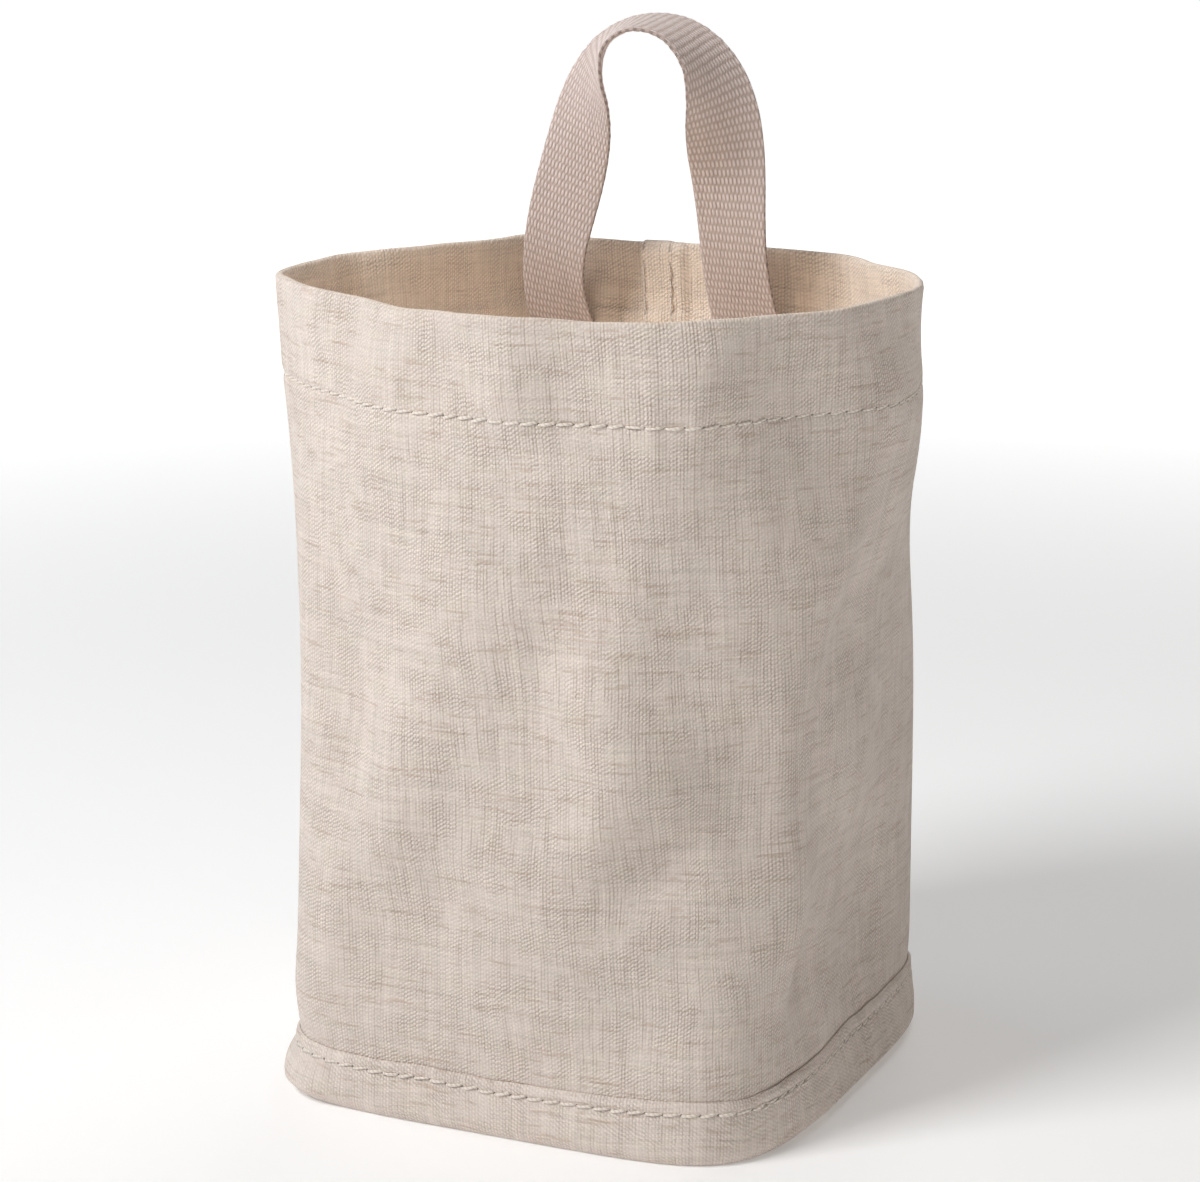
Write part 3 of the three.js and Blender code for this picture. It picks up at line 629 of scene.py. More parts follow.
def make_base():
    s = np.arange(240) / 240 * GIRTH
    rim_in, rim_z = 1.35, 0.5
    edge = on_wall(s, 1.0, rim_in)[:, :2]
    centre = edge.mean(0)
    points, uvs = [], []
    shares = [0.04, 0.12, 0.2, 0.28, 0.36, 0.44, 0.52, 0.6, 0.68, 0.76, 0.84, 0.9, 0.95, 0.985]
    for r in shares:
        xy = centre + (edge - centre) * r
        lift = 0.12 * np.sin(xy[:, 0] / 19.0 + 1.0) * np.sin(xy[:, 1] / 23.0) * (1 - r ** 4)
        points.append(np.c_[xy, rim_z + 0.1 + lift])
        uvs.append(xy)
    flange = [(rim_in - 0.22, 0.62), (rim_in, 1.0), (rim_in, 2.2), (rim_in, 3.8), (rim_in, 4.6), (rim_in, 5.0), (rim_in, 5.4), (rim_in, 6.4), (rim_in, 7.6)]
    for k, (o, z) in enumerate(flange):
        dip = 0.16 * math.exp(-((z - 5.0) / 0.5) ** 2)
        p = on_wall(s, np.full_like(s, max(z, 1.0)), o - dip)
        p[:, 2] = z + 0.15 * waves(s, 5, 19, 51) * ramp(z, 5.2, 7.6)
        points.append(p)
        n = edge - centre
        n = n / np.linalg.norm(n, axis=1, keepdims=True)
        uvs.append(edge + n * (0.3 + z))
    points, uvs = np.array(points), np.array(uvs)
    normal = grid_normals(points, True)
    towards = np.array([0, 0, 1.0])
    if normal[3, 0] @ towards < 0:
        normal = -normal
    rows, columns = points.shape[:2]
    thick = np.full(rows, CLOTH)
    thick[-1] = 0
    up_side, low_side = points + normal * thick[:, None, None] / 2, points - normal * thick[:, None, None] / 2
    low_side[..., 2] = np.maximum(low_side[..., 2], 0.04)
    vertices = np.concatenate([up_side, low_side[-2::-1]], 0)
    uv_all = np.concatenate([uvs, uvs[-2::-1]], 0)
    count = vertices.shape[0]
    j, c = np.meshgrid(np.arange(count - 1), np.arange(columns), indexing="ij")
    c2 = (c + 1) % columns
    faces = np.stack([j * columns + c, j * columns + c2, (j + 1) * columns + c2, (j + 1) * columns + c], -1).reshape(-1, 4)
    pick = lambda a, b: uv_all[a, b]
    cloth = np.stack([pick(j, c), pick(j, c2), pick(j + 1, c2), pick(j + 1, c)], 2)
    bake = (cloth - uvs.reshape(-1, 2).min(0)) / (uvs.reshape(-1, 2).max(0) - uvs.reshape(-1, 2).min(0))
    low = (j >= rows - 1)[..., None]
    bake = np.stack([np.where(low, 0.505, 0.005) + 0.49 * bake[..., 0], 0.005 + 0.99 * bake[..., 1]], -1)
    q = vertices.reshape(-1, 3)[faces[0]]
    if np.cross(q[1] - q[0], q[3] - q[0])[2] < 0:
        faces, cloth, bake = faces[:, ::-1], cloth[:, :, ::-1], bake[:, :, ::-1]
        flipped = True
    else:
        flipped = False
    obj = new_object("base_cloth", vertices.reshape(-1, 3), faces, {"cloth": cloth.reshape(-1, 2), "OFBake": bake.reshape(-1, 2)})
    first = np.arange(columns)
    last = (count - 1) * columns + np.arange(columns)
    add_cap_faces(obj, [first[::-1] if not flipped else first, last if not flipped else last[::-1]])
    return obj, points, normal, s


base, base_points, base_normals, base_s = make_base()

# ------------------------------------------------------------ stitch rows ----


def row_of(side, other, row, columns, wrap):
    p = side[row]
    n = grid_normals(side[row - 2: row + 3], wrap)[2]
    facing = (side - other)[row]
    n = np.where((n * facing).sum(-1, keepdims=True) < 0, -n, n)
    return p[columns], n[columns]


hole_columns = [int(np.abs(body_s - h).argmin()) for h in HOLE[1:]] + [int(np.abs(body_s - GIRTH).argmin()), int(np.abs(body_s - GIRTH - PITCH_MM).argmin()), int(np.abs(body_s - GIRTH - 2 * PITCH_MM).argmin())]
left, right_side = body_side["left"], body_side["right"]
outside, inside = (left, right_side) if np.linalg.norm(left[20, 100, :2]) > np.linalg.norm(right_side[20, 100, :2]) else (right_side, left)
p_out, n_out = row_of(outside, inside, hem_row, hole_columns[2:], False)
p_in, n_in = row_of(outside, inside, hem_row_inside, hole_columns[1:-1], False)
hem_starts = np.r_[HOLE[3:], GIRTH, GIRTH + PITCH_MM]
hem_threads = thread_object("hem_threads", [
    thread_row("hem", p_out, n_out, 61, lift=sunk(hem_starts, 0.40, 0.64), slant=0.60, radius=sunk(hem_starts, 0.31, 0.36)[:, None]),
    thread_row("hem", p_in, n_in, 62, lift=0.42, slant=0.3, radius=0.28),
])

band_columns = np.array([int(np.abs(band_s - h).argmin()) for h in HOLE])
bl, br = band_side["left"], band_side["right"]
b_out, b_in = (bl, br) if np.linalg.norm(bl[band_row, 100, :2]) > np.linalg.norm(br[band_row, 100, :2]) else (br, bl)
p_band, n_band = row_of(b_out, b_in, band_row, band_columns, True)
down = np.array([0, 0, -1.0])
backtack = slice(69, 75)
rows = [thread_row("band", p_band, n_band, 63, closed=True, lift=sunk(HOLE, 0.22, 0.50), slant=0.54, radius=sunk(HOLE, 0.29, 0.38)[:, None])]
again = p_band[backtack] + down * 0.75 + n_band[backtack] * 0.12
again = again + (np.roll(p_band, -1, axis=0)[backtack] - p_band[backtack]) * 0.45
rows.append(thread_row("band", again, n_band[backtack], 64, lift=0.42, slant=0.5))
band_threads = thread_object("band_threads", rows)

base_holes = on_wall(HOLE + 1.1, 5.0, 1.35 + CLOTH / 2 + 0.02)
base_n = -(on_wall(HOLE + 1.1, 5.0, 0.0) - on_wall(HOLE + 1.1, 5.0, 1.0))
base_threads = thread_object("base_seam_threads", [thread_row("base", base_holes, base_n, 65, closed=True, lift=0.34, sink=-0.25)])


def seam_threads(name, s0, seed):
    z = np.arange(14.0, 197.5, 4.3)
    over = z > HEM_EDGE_Z - 1.0
    inside_face = np.where(over, hem_depth(GIRTH + s0, z) + 0.3 + CLOTH * 0.5 + 0.3 + 0.35 * (1 - ramp(z, 181.2, 182.6)), CLOTH / 2)
    inner_holes = on_wall(s0, z, inside_face - 0.10)
    toward = on_wall(s0, z, inside_face + 1.0) - on_wall(s0, z, inside_face)
    outer_face = -LAYER - 0.3 - (CLOTH + 0.6) / 2
    z2 = z[z > 14.0]
    outer_holes = on_wall(s0, z2, outer_face + 0.12)
    away = on_wall(s0, z2, outer_face - 1.0) - on_wall(s0, z2, outer_face)
    return thread_object(name, [
        thread_row("seam", inner_holes, toward, seed, lift=0.12, sink=-0.46, slant=0.12, radius=0.21),
        thread_row("seam", outer_holes, away, seed + 1, lift=0.34, sink=-0.22, slant=0.25, radius=0.27),
    ])


seam_left = seam_threads("back_seam_threads_left", 8.7, 66)
seam_right = seam_threads("back_seam_threads_right", 1.5, 68)


def tack_threads(name, centre, seed):
    s = centre + np.linspace(-8.4, 8.4, 6)
    holes = on_wall(s, 181.0, -CLOTH / 2 - 0.02 + hem_pinch(s, 181.0))
    away = on_wall(s, 181.0, -2.0) - on_wall(s, 181.0, -1.0)
    return thread_object(name, [thread_row("tack", holes, away, seed, lift=0.36, sink=-0.25, slant=0.2)])


tack_left = tack_threads("handle_tack_threads_left", STRAP_LEFT_AT, 71)
tack_right = tack_threads("handle_tack_threads_right", GIRTH + STRAP_RIGHT_AT, 72)

# ----------------------------------------------------------------- webbing ----

ENDS = 36  # warp ends across the webbing
PICK = 2.2  # length of one pick


def catmull(points, t):
    """Centripetal-like smooth curve through points, at t from 0 to len - 1."""
    p = np.vstack([2 * points[0] - points[1], points, 2 * points[-1] - points[-2]])
    i = np.minimum(np.floor(t).astype(int), len(points) - 2)
    f = (t - i)[:, None]
    a, b, c, d = p[i], p[i + 1], p[i + 2], p[i + 3]
    return 0.5 * (2 * b + (c - a) * f + (2 * a - 5 * b + 4 * c - d) * f ** 2 + (3 * b - a - 3 * c + d) * f ** 3)


def webbing_end(centre, sign):
    """Rows of edge points from the hidden raw end, down, round the hem's lower edge and up to where the loop begins.
    sign says which side of the centre the loop's first edge is on."""
    path = [(1.62, 184.3), (1.62, 181.5), (1.62, 178.5), (1.62, 175.5), (1.62, 172.8)]
    for deg in (18, 45, 72, 100, 130, 160):
        t = math.radians(deg)
        path.append((3.15 - 1.53 * math.cos(t), 171.6 - 1.6 * math.sin(t)))
    path += [(4.72, 172.2), (4.75, 173.8)]
    o, z = np.array(path).T
    one = on_wall(centre + sign * STRAP_W / 2, z, o)
    two = on_wall(centre - sign * STRAP_W / 2, z, o)
    return one, two


def make_webbing():
    n1, f1 = webbing_end(STRAP_LEFT_AT, -1)
    n2, f2 = webbing_end(GIRTH + STRAP_RIGHT_AT, 1)
    near = np.vstack([n1, STRAP_NEAR, n2[::-1]])
    far = np.vstack([f1, STRAP_FAR, f2[::-1]])
    dense = np.linspace(0, len(near) - 1, (len(near) - 1) * 24 + 1)
    a, b = catmull(near, dense), catmull(far, dense)
    mid = (a + b) / 2
    run = np.r_[0, np.cumsum(np.linalg.norm(np.diff(mid, axis=0), axis=1))]
    picks = int(round(run[-1] / PICK))
    pick = run[-1] / picks
    per = 4
    at = np.linspace(0, run[-1], picks * per + 1)
    a = np.stack([np.interp(at, run, a[:, k]) for k in range(3)], -1)
    b = np.stack([np.interp(at, run, b[:, k]) for k in range(3)], -1)
    # keep the true width, and smooth the rows a little
    for _ in range(6):
        a[1:-1] = a[1:-1] * 0.5 + (a[:-2] + a[2:]) * 0.25
        b[1:-1] = b[1:-1] * 0.5 + (b[:-2] + b[2:]) * 0.25
    mid = (a + b) / 2
    across = b - a
    width = np.linalg.norm(across, axis=1, keepdims=True)
    across = across / width
    along = np.gradient(mid, axis=0)
    along -= across * (along * across).sum(1, keepdims=True)
    along /= np.linalg.norm(along, axis=1, keepdims=True)
    face = np.cross(along, across)
    lat = []
    for i in range(ENDS):
        for d in (-0.5, -0.2, 0.2):
            lat.append((i + 0.5 + d) / ENDS)
    lat.append(1.0)
    lat = np.array(lat)
    u = lat * STRAP_W
    rng = np.random.RandomState(81)
    end_id = np.minimum((lat * ENDS + 1e-6).astype(int), ENDS - 1)
    n_lat, width_mm, gap = len(lat), STRAP_W / ENDS, lambda c: np.maximum(c, 0.0) ** 0.55
    end_shift = rng.uniform(-0.07, 0.07, ENDS + 1)
    row_shift = 0.10 * np.sin(at / 11.0) + 0.07 * np.sin(at / 3.7 + 1.0)
    selvedge = np.minimum(lat, 1 - lat) * STRAP_W
    body_t = (STRAP_T / 2) * (1 - 0.30 * np.exp(-(selvedge / 0.5) ** 2))[None]
    tension = 1 + 0.12 * rng.uniform(-1, 1, (len(at), 1)) * 0.5 + 0.12 * rng.uniform(-1, 1, ENDS + 1)[None]

    def one_face(turn):
        """Sideways shift, height over the core and lightness of each grid point on one face."""
        v = at[:, None] / pick + row_shift[:, None] + end_shift[None]
        c = np.cos(np.pi * (v + np.arange(ENDS + 1)[None] % 2 + turn))  # +1 on a float, -1 where the end dives
        c = np.sign(c) * abs(c) ** 0.6
        sideways, rise, light = np.zeros((len(at), n_lat)), np.zeros((len(at), n_lat)), np.zeros((len(at), n_lat))
        lean = 0.14 * np.sin(np.pi * (v + np.arange(ENDS + 1)[None] % 2 + turn))
        for i in range(ENDS):
            edge, one, two = 3 * i, 3 * i + 1, 3 * i + 2
            before = c[:, i - 1] if i else -c[:, i] * 0 - 0.2
            left = 0.36 * width_mm * (before - c[:, i]) / 2 if i else 0 * c[:, i]
            after = c[:, i + 1] if i < ENDS - 1 else -0.2 + 0 * c[:, i]
            right_side = 0.36 * width_mm * (c[:, i] - after) / 2 if i < ENDS - 1 else 0 * c[:, i]
            middle = (left + right_side) / 2
            half = (width_mm + right_side - left) / 2
            sideways[:, edge] = left
            sideways[:, one] = middle + (0.2 * width_mm - 0.42 * half) + lean[:, i] * gap(c[:, i])
            sideways[:, two] = middle - (0.2 * width_mm - 0.42 * half) + lean[:, i] * gap(c[:, i])
            up_now = gap(c[:, i]) * tension[:, i]
            rise[:, one] = rise[:, two] = 0.27 * up_now
            rise[:, edge] = 0.09 * (gap(c[:, i]) + (gap(c[:, i - 1]) if i else 0))
            light[:, one] = light[:, two] = gap(c[:, i])
            light[:, edge] = 0.18 * (gap(c[:, i]) + (gap(c[:, i - 1]) if i else 0))
        return sideways, rise, light

    lat_grid = a[:, None] * (1 - lat)[None, :, None] + b[:, None] * lat[None, :, None]
    side_up, rise_up, light_up = one_face(0)
    side_low, rise_low, light_low = one_face(1)
    core = body_t - 0.18
    upper = lat_grid + across[:, None] * side_up[..., None] + face[:, None] * (core + rise_up)[..., None]
    lower = lat_grid + across[:, None] * side_low[..., None] - face[:, None] * (core + rise_low)[..., None]
    rows, cols = upper.shape[:2]
    height = np.concatenate([light_up, light_low[:, ::-1]], 1)
    ring = np.concatenate([upper, lower[:, ::-1]], 1)
    count = ring.shape[1]
    r, c = np.meshgrid(np.arange(rows - 1), np.arange(count), indexing="ij")
    c2 = (c + 1) % count
    faces = np.stack([r * count + c, r * count + c2, (r + 1) * count + c2, (r + 1) * count + c], -1).reshape(-1, 4)
    lat2 = np.r_[u, u[::-1]]
    cu1, cu2 = lat2[c], lat2[c2]
    vv1, vv2 = at[r], at[r + 1]
    cloth = np.stack([np.stack([cu1, vv1], -1), np.stack([cu2, vv1], -1), np.stack([cu2, vv2], -1), np.stack([cu1, vv2], -1)], 2)
    side = (c >= cols)[..., None]
    # the long strap is laid out for the bake as several lanes side by side
    lanes = 6
    lane = np.floor(np.minimum((r + 0.5) / (rows - 1), 0.9999) * lanes)
    lane_len = at[-1] / lanes
    bu = (lane[..., None] * 2 + side + 0.04 + 0.92 * cloth[..., 0] / STRAP_W) / (2 * lanes)
    bv = 0.005 + 0.99 * (cloth[..., 1] - lane[..., None] * lane_len + 0.6) / (lane_len + 1.2)
    bake = np.stack([bu, bv], -1)
    vertices = ring.reshape(-1, 3)
    q = vertices[faces[10]]
    if np.cross(q[1] - q[0], q[3] - q[0]) @ face[0] < 0:
        faces, cloth, bake = faces[:, ::-1], cloth[:, :, ::-1], bake[:, :, ::-1]
        flipped = True
    else:
        flipped = False
    obj = new_object("webbing_strap", vertices, faces, {"cloth": cloth.reshape(-1, 2), "OFBake": bake.reshape(-1, 2)}, {"float": height.reshape(-1)})
    first, last = np.arange(count), (rows - 1) * count + np.arange(count)
    import bmesh

    bm = bmesh.new()
    bm.from_mesh(obj.data)
    bm.verts.ensure_lookup_table()
    for start, turn in ((0, flipped), ((rows - 1) * count, not flipped)):
        for k in range(cols - 1):
            quad = [bm.verts[start + k], bm.verts[start + k + 1], bm.verts[start + count - 2 - k], bm.verts[start + count - 1 - k]]
            bm.faces.new(quad[::-1] if not turn else quad).smooth = False
    bmesh.ops.recalc_face_normals(bm, faces=bm.faces)
    bm.to_mesh(obj.data)
    bm.free()
    return obj, run[-1], width


webbing, webbing_length, webbing_width = make_webbing()
print("webbing length mm", round(float(webbing_length), 1), "width", webbing_width.min(), webbing_width.max())

# --------------------------------------------------------------- materials ----


class Net:
    """Short names for building shader nodes."""

    def __init__(self, name):
        self.material = bpy.data.materials.new(name)
        self.material.use_nodes = True
        self.tree = self.material.node_tree
        self.tree.nodes.clear()
        self.links = self.tree.links
        self.out = self.add("ShaderNodeOutputMaterial")
        self.shader = self.add("ShaderNodeBsdfPrincipled")
        self.links.new(self.shader.outputs[0], self.out.inputs["Surface"])

    def add(self, kind, **settings):
        node = self.tree.nodes.new(kind)
        for key, value in settings.items():
            setattr(node, key, value)
        return node

    def put(self, socket, value):
        if isinstance(value, bpy.types.NodeSocket):
            self.links.new(value, socket)
        elif value is not None:
            socket.default_value = value

    def math(self, operation, a, b=None, c=None, clamp=False):
        node = self.add("ShaderNodeMath", operation=operation, use_clamp=clamp)
        for socket, value in zip(node.inputs, (a, b, c)):
            self.put(socket, value)
        return node.outputs[0]

    def plus(self, *values):
        total = values[0]
        for value in values[1:]:
            total = self.math("ADD", total, value)
        return total

    def times(self, a, b):
        return self.math("MULTIPLY", a, b)

    def cos_of(self, x, scale=1.0):
        return self.math("COSINE", self.times(x, scale))

    def uv(self, name="cloth"):
        node = self.add("ShaderNodeUVMap", uv_map=name)
        split = self.add("ShaderNodeSeparateXYZ")
        self.links.new(node.outputs[0], split.inputs[0])
        return split.outputs[0], split.outputs[1]

    def vector(self, x, y, z=0.0):
        node = self.add("ShaderNodeCombineXYZ")
        for socket, value in zip(node.inputs, (x, y, z)):
            self.put(socket, value)
        return node.outputs[0]

    def noise(self, x, y, sx, sy, seed=0.0, detail=2.0, rough=0.5):
        """Noise in the cloth's plane, with sx and sy features to a millimetre. From 0 to 1, about 0.5."""
        node = self.add("ShaderNodeTexNoise", noise_dimensions="3D")
        self.put(node.inputs["Vector"], self.vector(self.times(x, sx), self.times(y, sy), seed))
        node.inputs["Scale"].default_value = 1.0
        node.inputs["Detail"].default_value = detail
        node.inputs["Roughness"].default_value = rough
        return node.outputs[0]

    def span(self, x, low, high, out_low=0.0, out_high=1.0, smooth=True):
        node = self.add("ShaderNodeMapRange", interpolation_type="SMOOTHSTEP" if smooth else "LINEAR")
        for socket, value in zip(node.inputs, (x, low, high, out_low, out_high)):
            self.put(socket, value)
        return node.outputs[0]

    def mix(self, factor, a, b, kind="MIX"):
        node = self.add("ShaderNodeMix", data_type="RGBA", blend_type=kind)
        node.clamp_factor = True
        self.put(node.inputs[0], factor)
        self.put(node.inputs[6], a if isinstance(a, bpy.types.NodeSocket) else (*a, 1.0))
        self.put(node.inputs[7], b if isinstance(b, bpy.types.NodeSocket) else (*b, 1.0))
        return node.outputs[2]

    def scale_colour(self, colour, value):
        node = self.add("ShaderNodeVectorMath", operation="SCALE")
        self.put(node.inputs[0], colour)
        self.put(node.inputs[3], value)
        return node.outputs[0]

    def mark(self, name):
        node = self.add("ShaderNodeAttribute", attribute_name=name)
        return node.outputs["Fac"]

    def bump(self, height, distance, strength=1.0):
        node = self.add("ShaderNodeBump")
        node.inputs["Strength"].default_value = strength
        node.inputs["Distance"].default_value = distance
        self.put(node.inputs["Height"], height)
        self.links.new(node.outputs[0], self.shader.inputs["Normal"])


CANVAS = (0.735, 0.650, 0.592)
# painted shade for the hollows of the weave and the gaps between warp ends
CANVAS_PAINTED_SHADE = (0.500, 0.398, 0.325)
CANVAS_INSIDE_PAINTED_GLOW = (0.930, 0.800, 0.680)
SLUB = (0.500, 0.370, 0.292)
SLUB_COOL = (0.690, 0.625, 0.580)


def canvas(name, stitched=False, seam_rows=False, painted_light=1.0, calm=1.0):
    m = Net(name)
    u, v = m.uv()
    # the yarns wander slightly
    wu = m.times(m.math("SUBTRACT", m.noise(u, v, 0.035, 0.05, 1.7, 1.0), 0.5), 1.6)
    wv = m.times(m.math("SUBTRACT", m.noise(u, v, 0.045, 0.035, 5.1, 1.0), 0.5), 1.6)
    a = m.times(m.math("ADD", u, wu), 1 / 0.80)
    b = m.times(m.math("ADD", v, wv), 1 / 0.52)
    pi = math.pi
    jitter = m.times(m.math("SUBTRACT", m.noise(m.math("ROUND", a), v, 0.93, 0.16, 137.3, 1.0), 0.5), 2.6)
    slanted = m.cos_of(m.plus(m.math("SUBTRACT", a, b), jitter), pi)
    crossed = m.cos_of(m.math("ADD", a, b), pi)
    columns = m.cos_of(a, 2 * pi)
    picks = m.cos_of(b, 2 * pi)
    # the weave is opener in some places than in others
    open_weave = m.span(m.noise(u, v, 0.11, 0.13, 81.3, 3.0, 0.6), 0.36, 0.64, 0.55, 1.45)
    leaning = m.span(m.noise(u, v, 0.16, 0.20, 87.9, 2.0, 0.6), 0.38, 0.62, 0.26, 0.50)
    weave = m.plus(m.times(slanted, leaning), m.times(crossed, 0.16), m.times(columns, 0.26), m.times(picks, 0.12))
    # single yarns: each warp end and each weft pick has its own tone along its length
    end_number = m.math("ROUND", a)
    pick_number = m.math("ROUND", b)
    end_tone = m.noise(end_number, v, 0.73, 0.030, 9.3, 2.0, 0.6)
    pick_tone = m.noise(pick_number, u, 0.71, 0.026, 14.9, 2.0, 0.6)
    slub_fine = m.span(m.noise(pick_number, u, 0.83, 0.095, 21.7, 2.0, 0.55), 0.585, 0.70)
    slub_long = m.span(m.noise(u, v, 0.040, 0.75, 33.1, 3.0, 0.6), 0.57, 0.74)
    fleck = m.span(m.noise(pick_number, u, 0.91, 0.33, 47.9, 1.0, 0.5), 0.70, 0.80)
    # painted shade in the gaps between some neighbouring warp ends
    gap_number = m.math("FLOOR", a)
    gap_here = m.span(m.noise(gap_number, v, 0.87, 0.075, 91.1, 2.0, 0.6), 0.44, 0.66)
    shaded_gap_line = m.times(m.span(columns, -0.95, -0.1, 1.0, 0.0), gap_here)
    cool = m.span(m.noise(u, v, 0.050, 0.080, 55.3, 3.0, 0.55), 0.42, 0.66)
    cloud = m.noise(u, v, 0.028, 0.040, 61.7, 4.0, 0.6)
    # the yarns differ a little in hue: some patches are pinker, some yellower, some cooler
    pinker = m.span(m.noise(u, v, 0.13, 0.17, 103.3, 3.0, 0.6), 0.46, 0.66)
    yellower = m.span(m.noise(u, v, 0.11, 0.21, 113.9, 3.0, 0.6), 0.48, 0.68)
    grain = m.noise(u, v, 1.3, 1.9, 127.1, 2.0, 0.65)
    colour = m.mix(m.times(cool, 0.28), CANVAS, SLUB_COOL)
    colour = m.mix(m.times(pinker, 0.30), colour, (0.700, 0.580, 0.530))
    colour = m.mix(m.times(yellower, 0.30), colour, (0.700, 0.640, 0.530))
    colour = m.mix(m.times(slub_fine, 0.46), colour, SLUB)
    colour = m.mix(m.times(slub_long, 0.38), colour, SLUB)
    colour = m.mix(m.times(fleck, 0.36), colour, (0.42, 0.31, 0.245))
    # painted light: the inside face is lighter and warmer, standing in for light bounced round inside the bag and let
    # through the canvas
    inner = m.mark("inner")
    colour = m.mix(m.times(inner, 0.9), colour, m.mix(m.plus(m.times(slub_fine, 0.22), m.times(slub_long, 0.18)), CANVAS_INSIDE_PAINTED_GLOW, SLUB))
    # painted shade: where the weave dips and in the gaps between ends the colour is darkened, half as much on the
    # inside face
    dip = m.span(weave, -0.85, 0.35, 1.0, 0.0)
    outer = m.plus(1.0, m.times(inner, -0.5))
    colour = m.mix(m.times(m.times(m.times(dip, open_weave), 0.50 * calm), outer), colour, CANVAS_PAINTED_SHADE)
    colour = m.mix(m.times(m.times(shaded_gap_line, 0.50 * calm), outer), colour, CANVAS_PAINTED_SHADE)
    tone = m.plus(
        0.985,
        m.times(m.math("SUBTRACT", end_tone, 0.5), 0.28),
        m.times(m.math("SUBTRACT", pick_tone, 0.5), 0.32),
        m.times(m.math("SUBTRACT", cloud, 0.5), 0.12),
        # painted light and shade of the weave: the raised floats lighter, the dips darker
        m.times(m.times(weave, open_weave), 0.17 * calm),
        m.times(m.math("SUBTRACT", grain, 0.5), 0.30),
    )
    tone = m.times(tone, painted_light)
    if stitched:
        # painted shade: under each stitch a dark crease where the cloth is drawn in, and a dark needle hole where its
        # thread comes up
        d = m.mark("row")
        along = m.math("FRACT", m.times(u, 1 / PITCH_MM))
        crease_shade = m.math("ABSOLUTE", m.plus(d, 0.40, m.times(m.cos_of(along, pi), 0.24)))
        crease_shade = m.times(m.span(crease_shade, 0.05, 0.30, 1.0, 0.0), m.span(along, 0.02, 0.16))
        crease_shade = m.times(crease_shade, m.span(along, 0.72, 0.98, 1.0, 0.25))
        nearest = m.times(m.math("SUBTRACT", m.math("ABSOLUTE", m.math("SUBTRACT", along, 0.5)), 0.5), PITCH_MM)
        apart = m.math("SQRT", m.plus(m.times(nearest, nearest), m.times(m.plus(d, 0.05), m.plus(d, 0.05))))
        hole_shade = m.span(apart, 0.20, 0.50, 1.0, 0.0)
        pulled = m.span(m.noise(u, 0.0, 0.022, 1.0, 151.9, 2.0, 0.6), 0.36, 0.62, 0.35, 1.0)
        stitch_shade = m.math("MAXIMUM", m.times(m.times(crease_shade, pulled), 0.42), m.times(hole_shade, 0.64))
        tone = m.times(tone, m.math("SUBTRACT", 1.0, stitch_shade))
    if seam_rows:
        # painted shade: dark dashes along the felled seam's two rows where the thread sinks in, in step with its
        # threads
        back = m.math("MODULO", m.math("ADD", u, GIRTH), GIRTH)
        marks = None
        for s0 in (1.5, 8.7):
            near = m.span(m.math("ABSOLUTE", m.math("SUBTRACT", back, s0)), 0.12, 0.36, 1.0, 0.0)
            marks = near if marks is None else m.math("MAXIMUM", marks, near)
        shaded_dash = m.span(m.cos_of(v, 2 * math.pi / 4.3), 0.05, 0.45)
        tone = m.times(tone, m.math("SUBTRACT", 1.0, m.times(m.times(marks, shaded_dash), 0.40)))
    colour = m.scale_colour(colour, tone)
    m.put(m.shader.inputs["Base Color"], colour)
    rough = m.plus(0.88, m.times(weave, -0.04))
    m.put(m.shader.inputs["Roughness"], rough)
    m.shader.inputs["Specular IOR Level"].default_value = 0.25
    m.shader.inputs["Sheen Weight"].default_value = 0.12
    m.shader.inputs["Sheen Roughness"].default_value = 0.45
    fuzz = m.noise(u, v, 3.2, 3.2, 71.0, 2.0, 0.6)
    height = m.plus(
        m.times(m.times(weave, open_weave), 0.085),
        m.times(slub_fine, 0.045),
        m.times(slub_long, 0.045),
        m.times(shaded_gap_line, -0.07),
        m.times(m.math("SUBTRACT", end_tone, 0.5), 0.10),
        m.times(m.math("SUBTRACT", pick_tone, 0.5), 0.12),
        m.times(m.math("SUBTRACT", fuzz, 0.5), 0.06),
    )
    m.bump(height, MM)
    return m.material


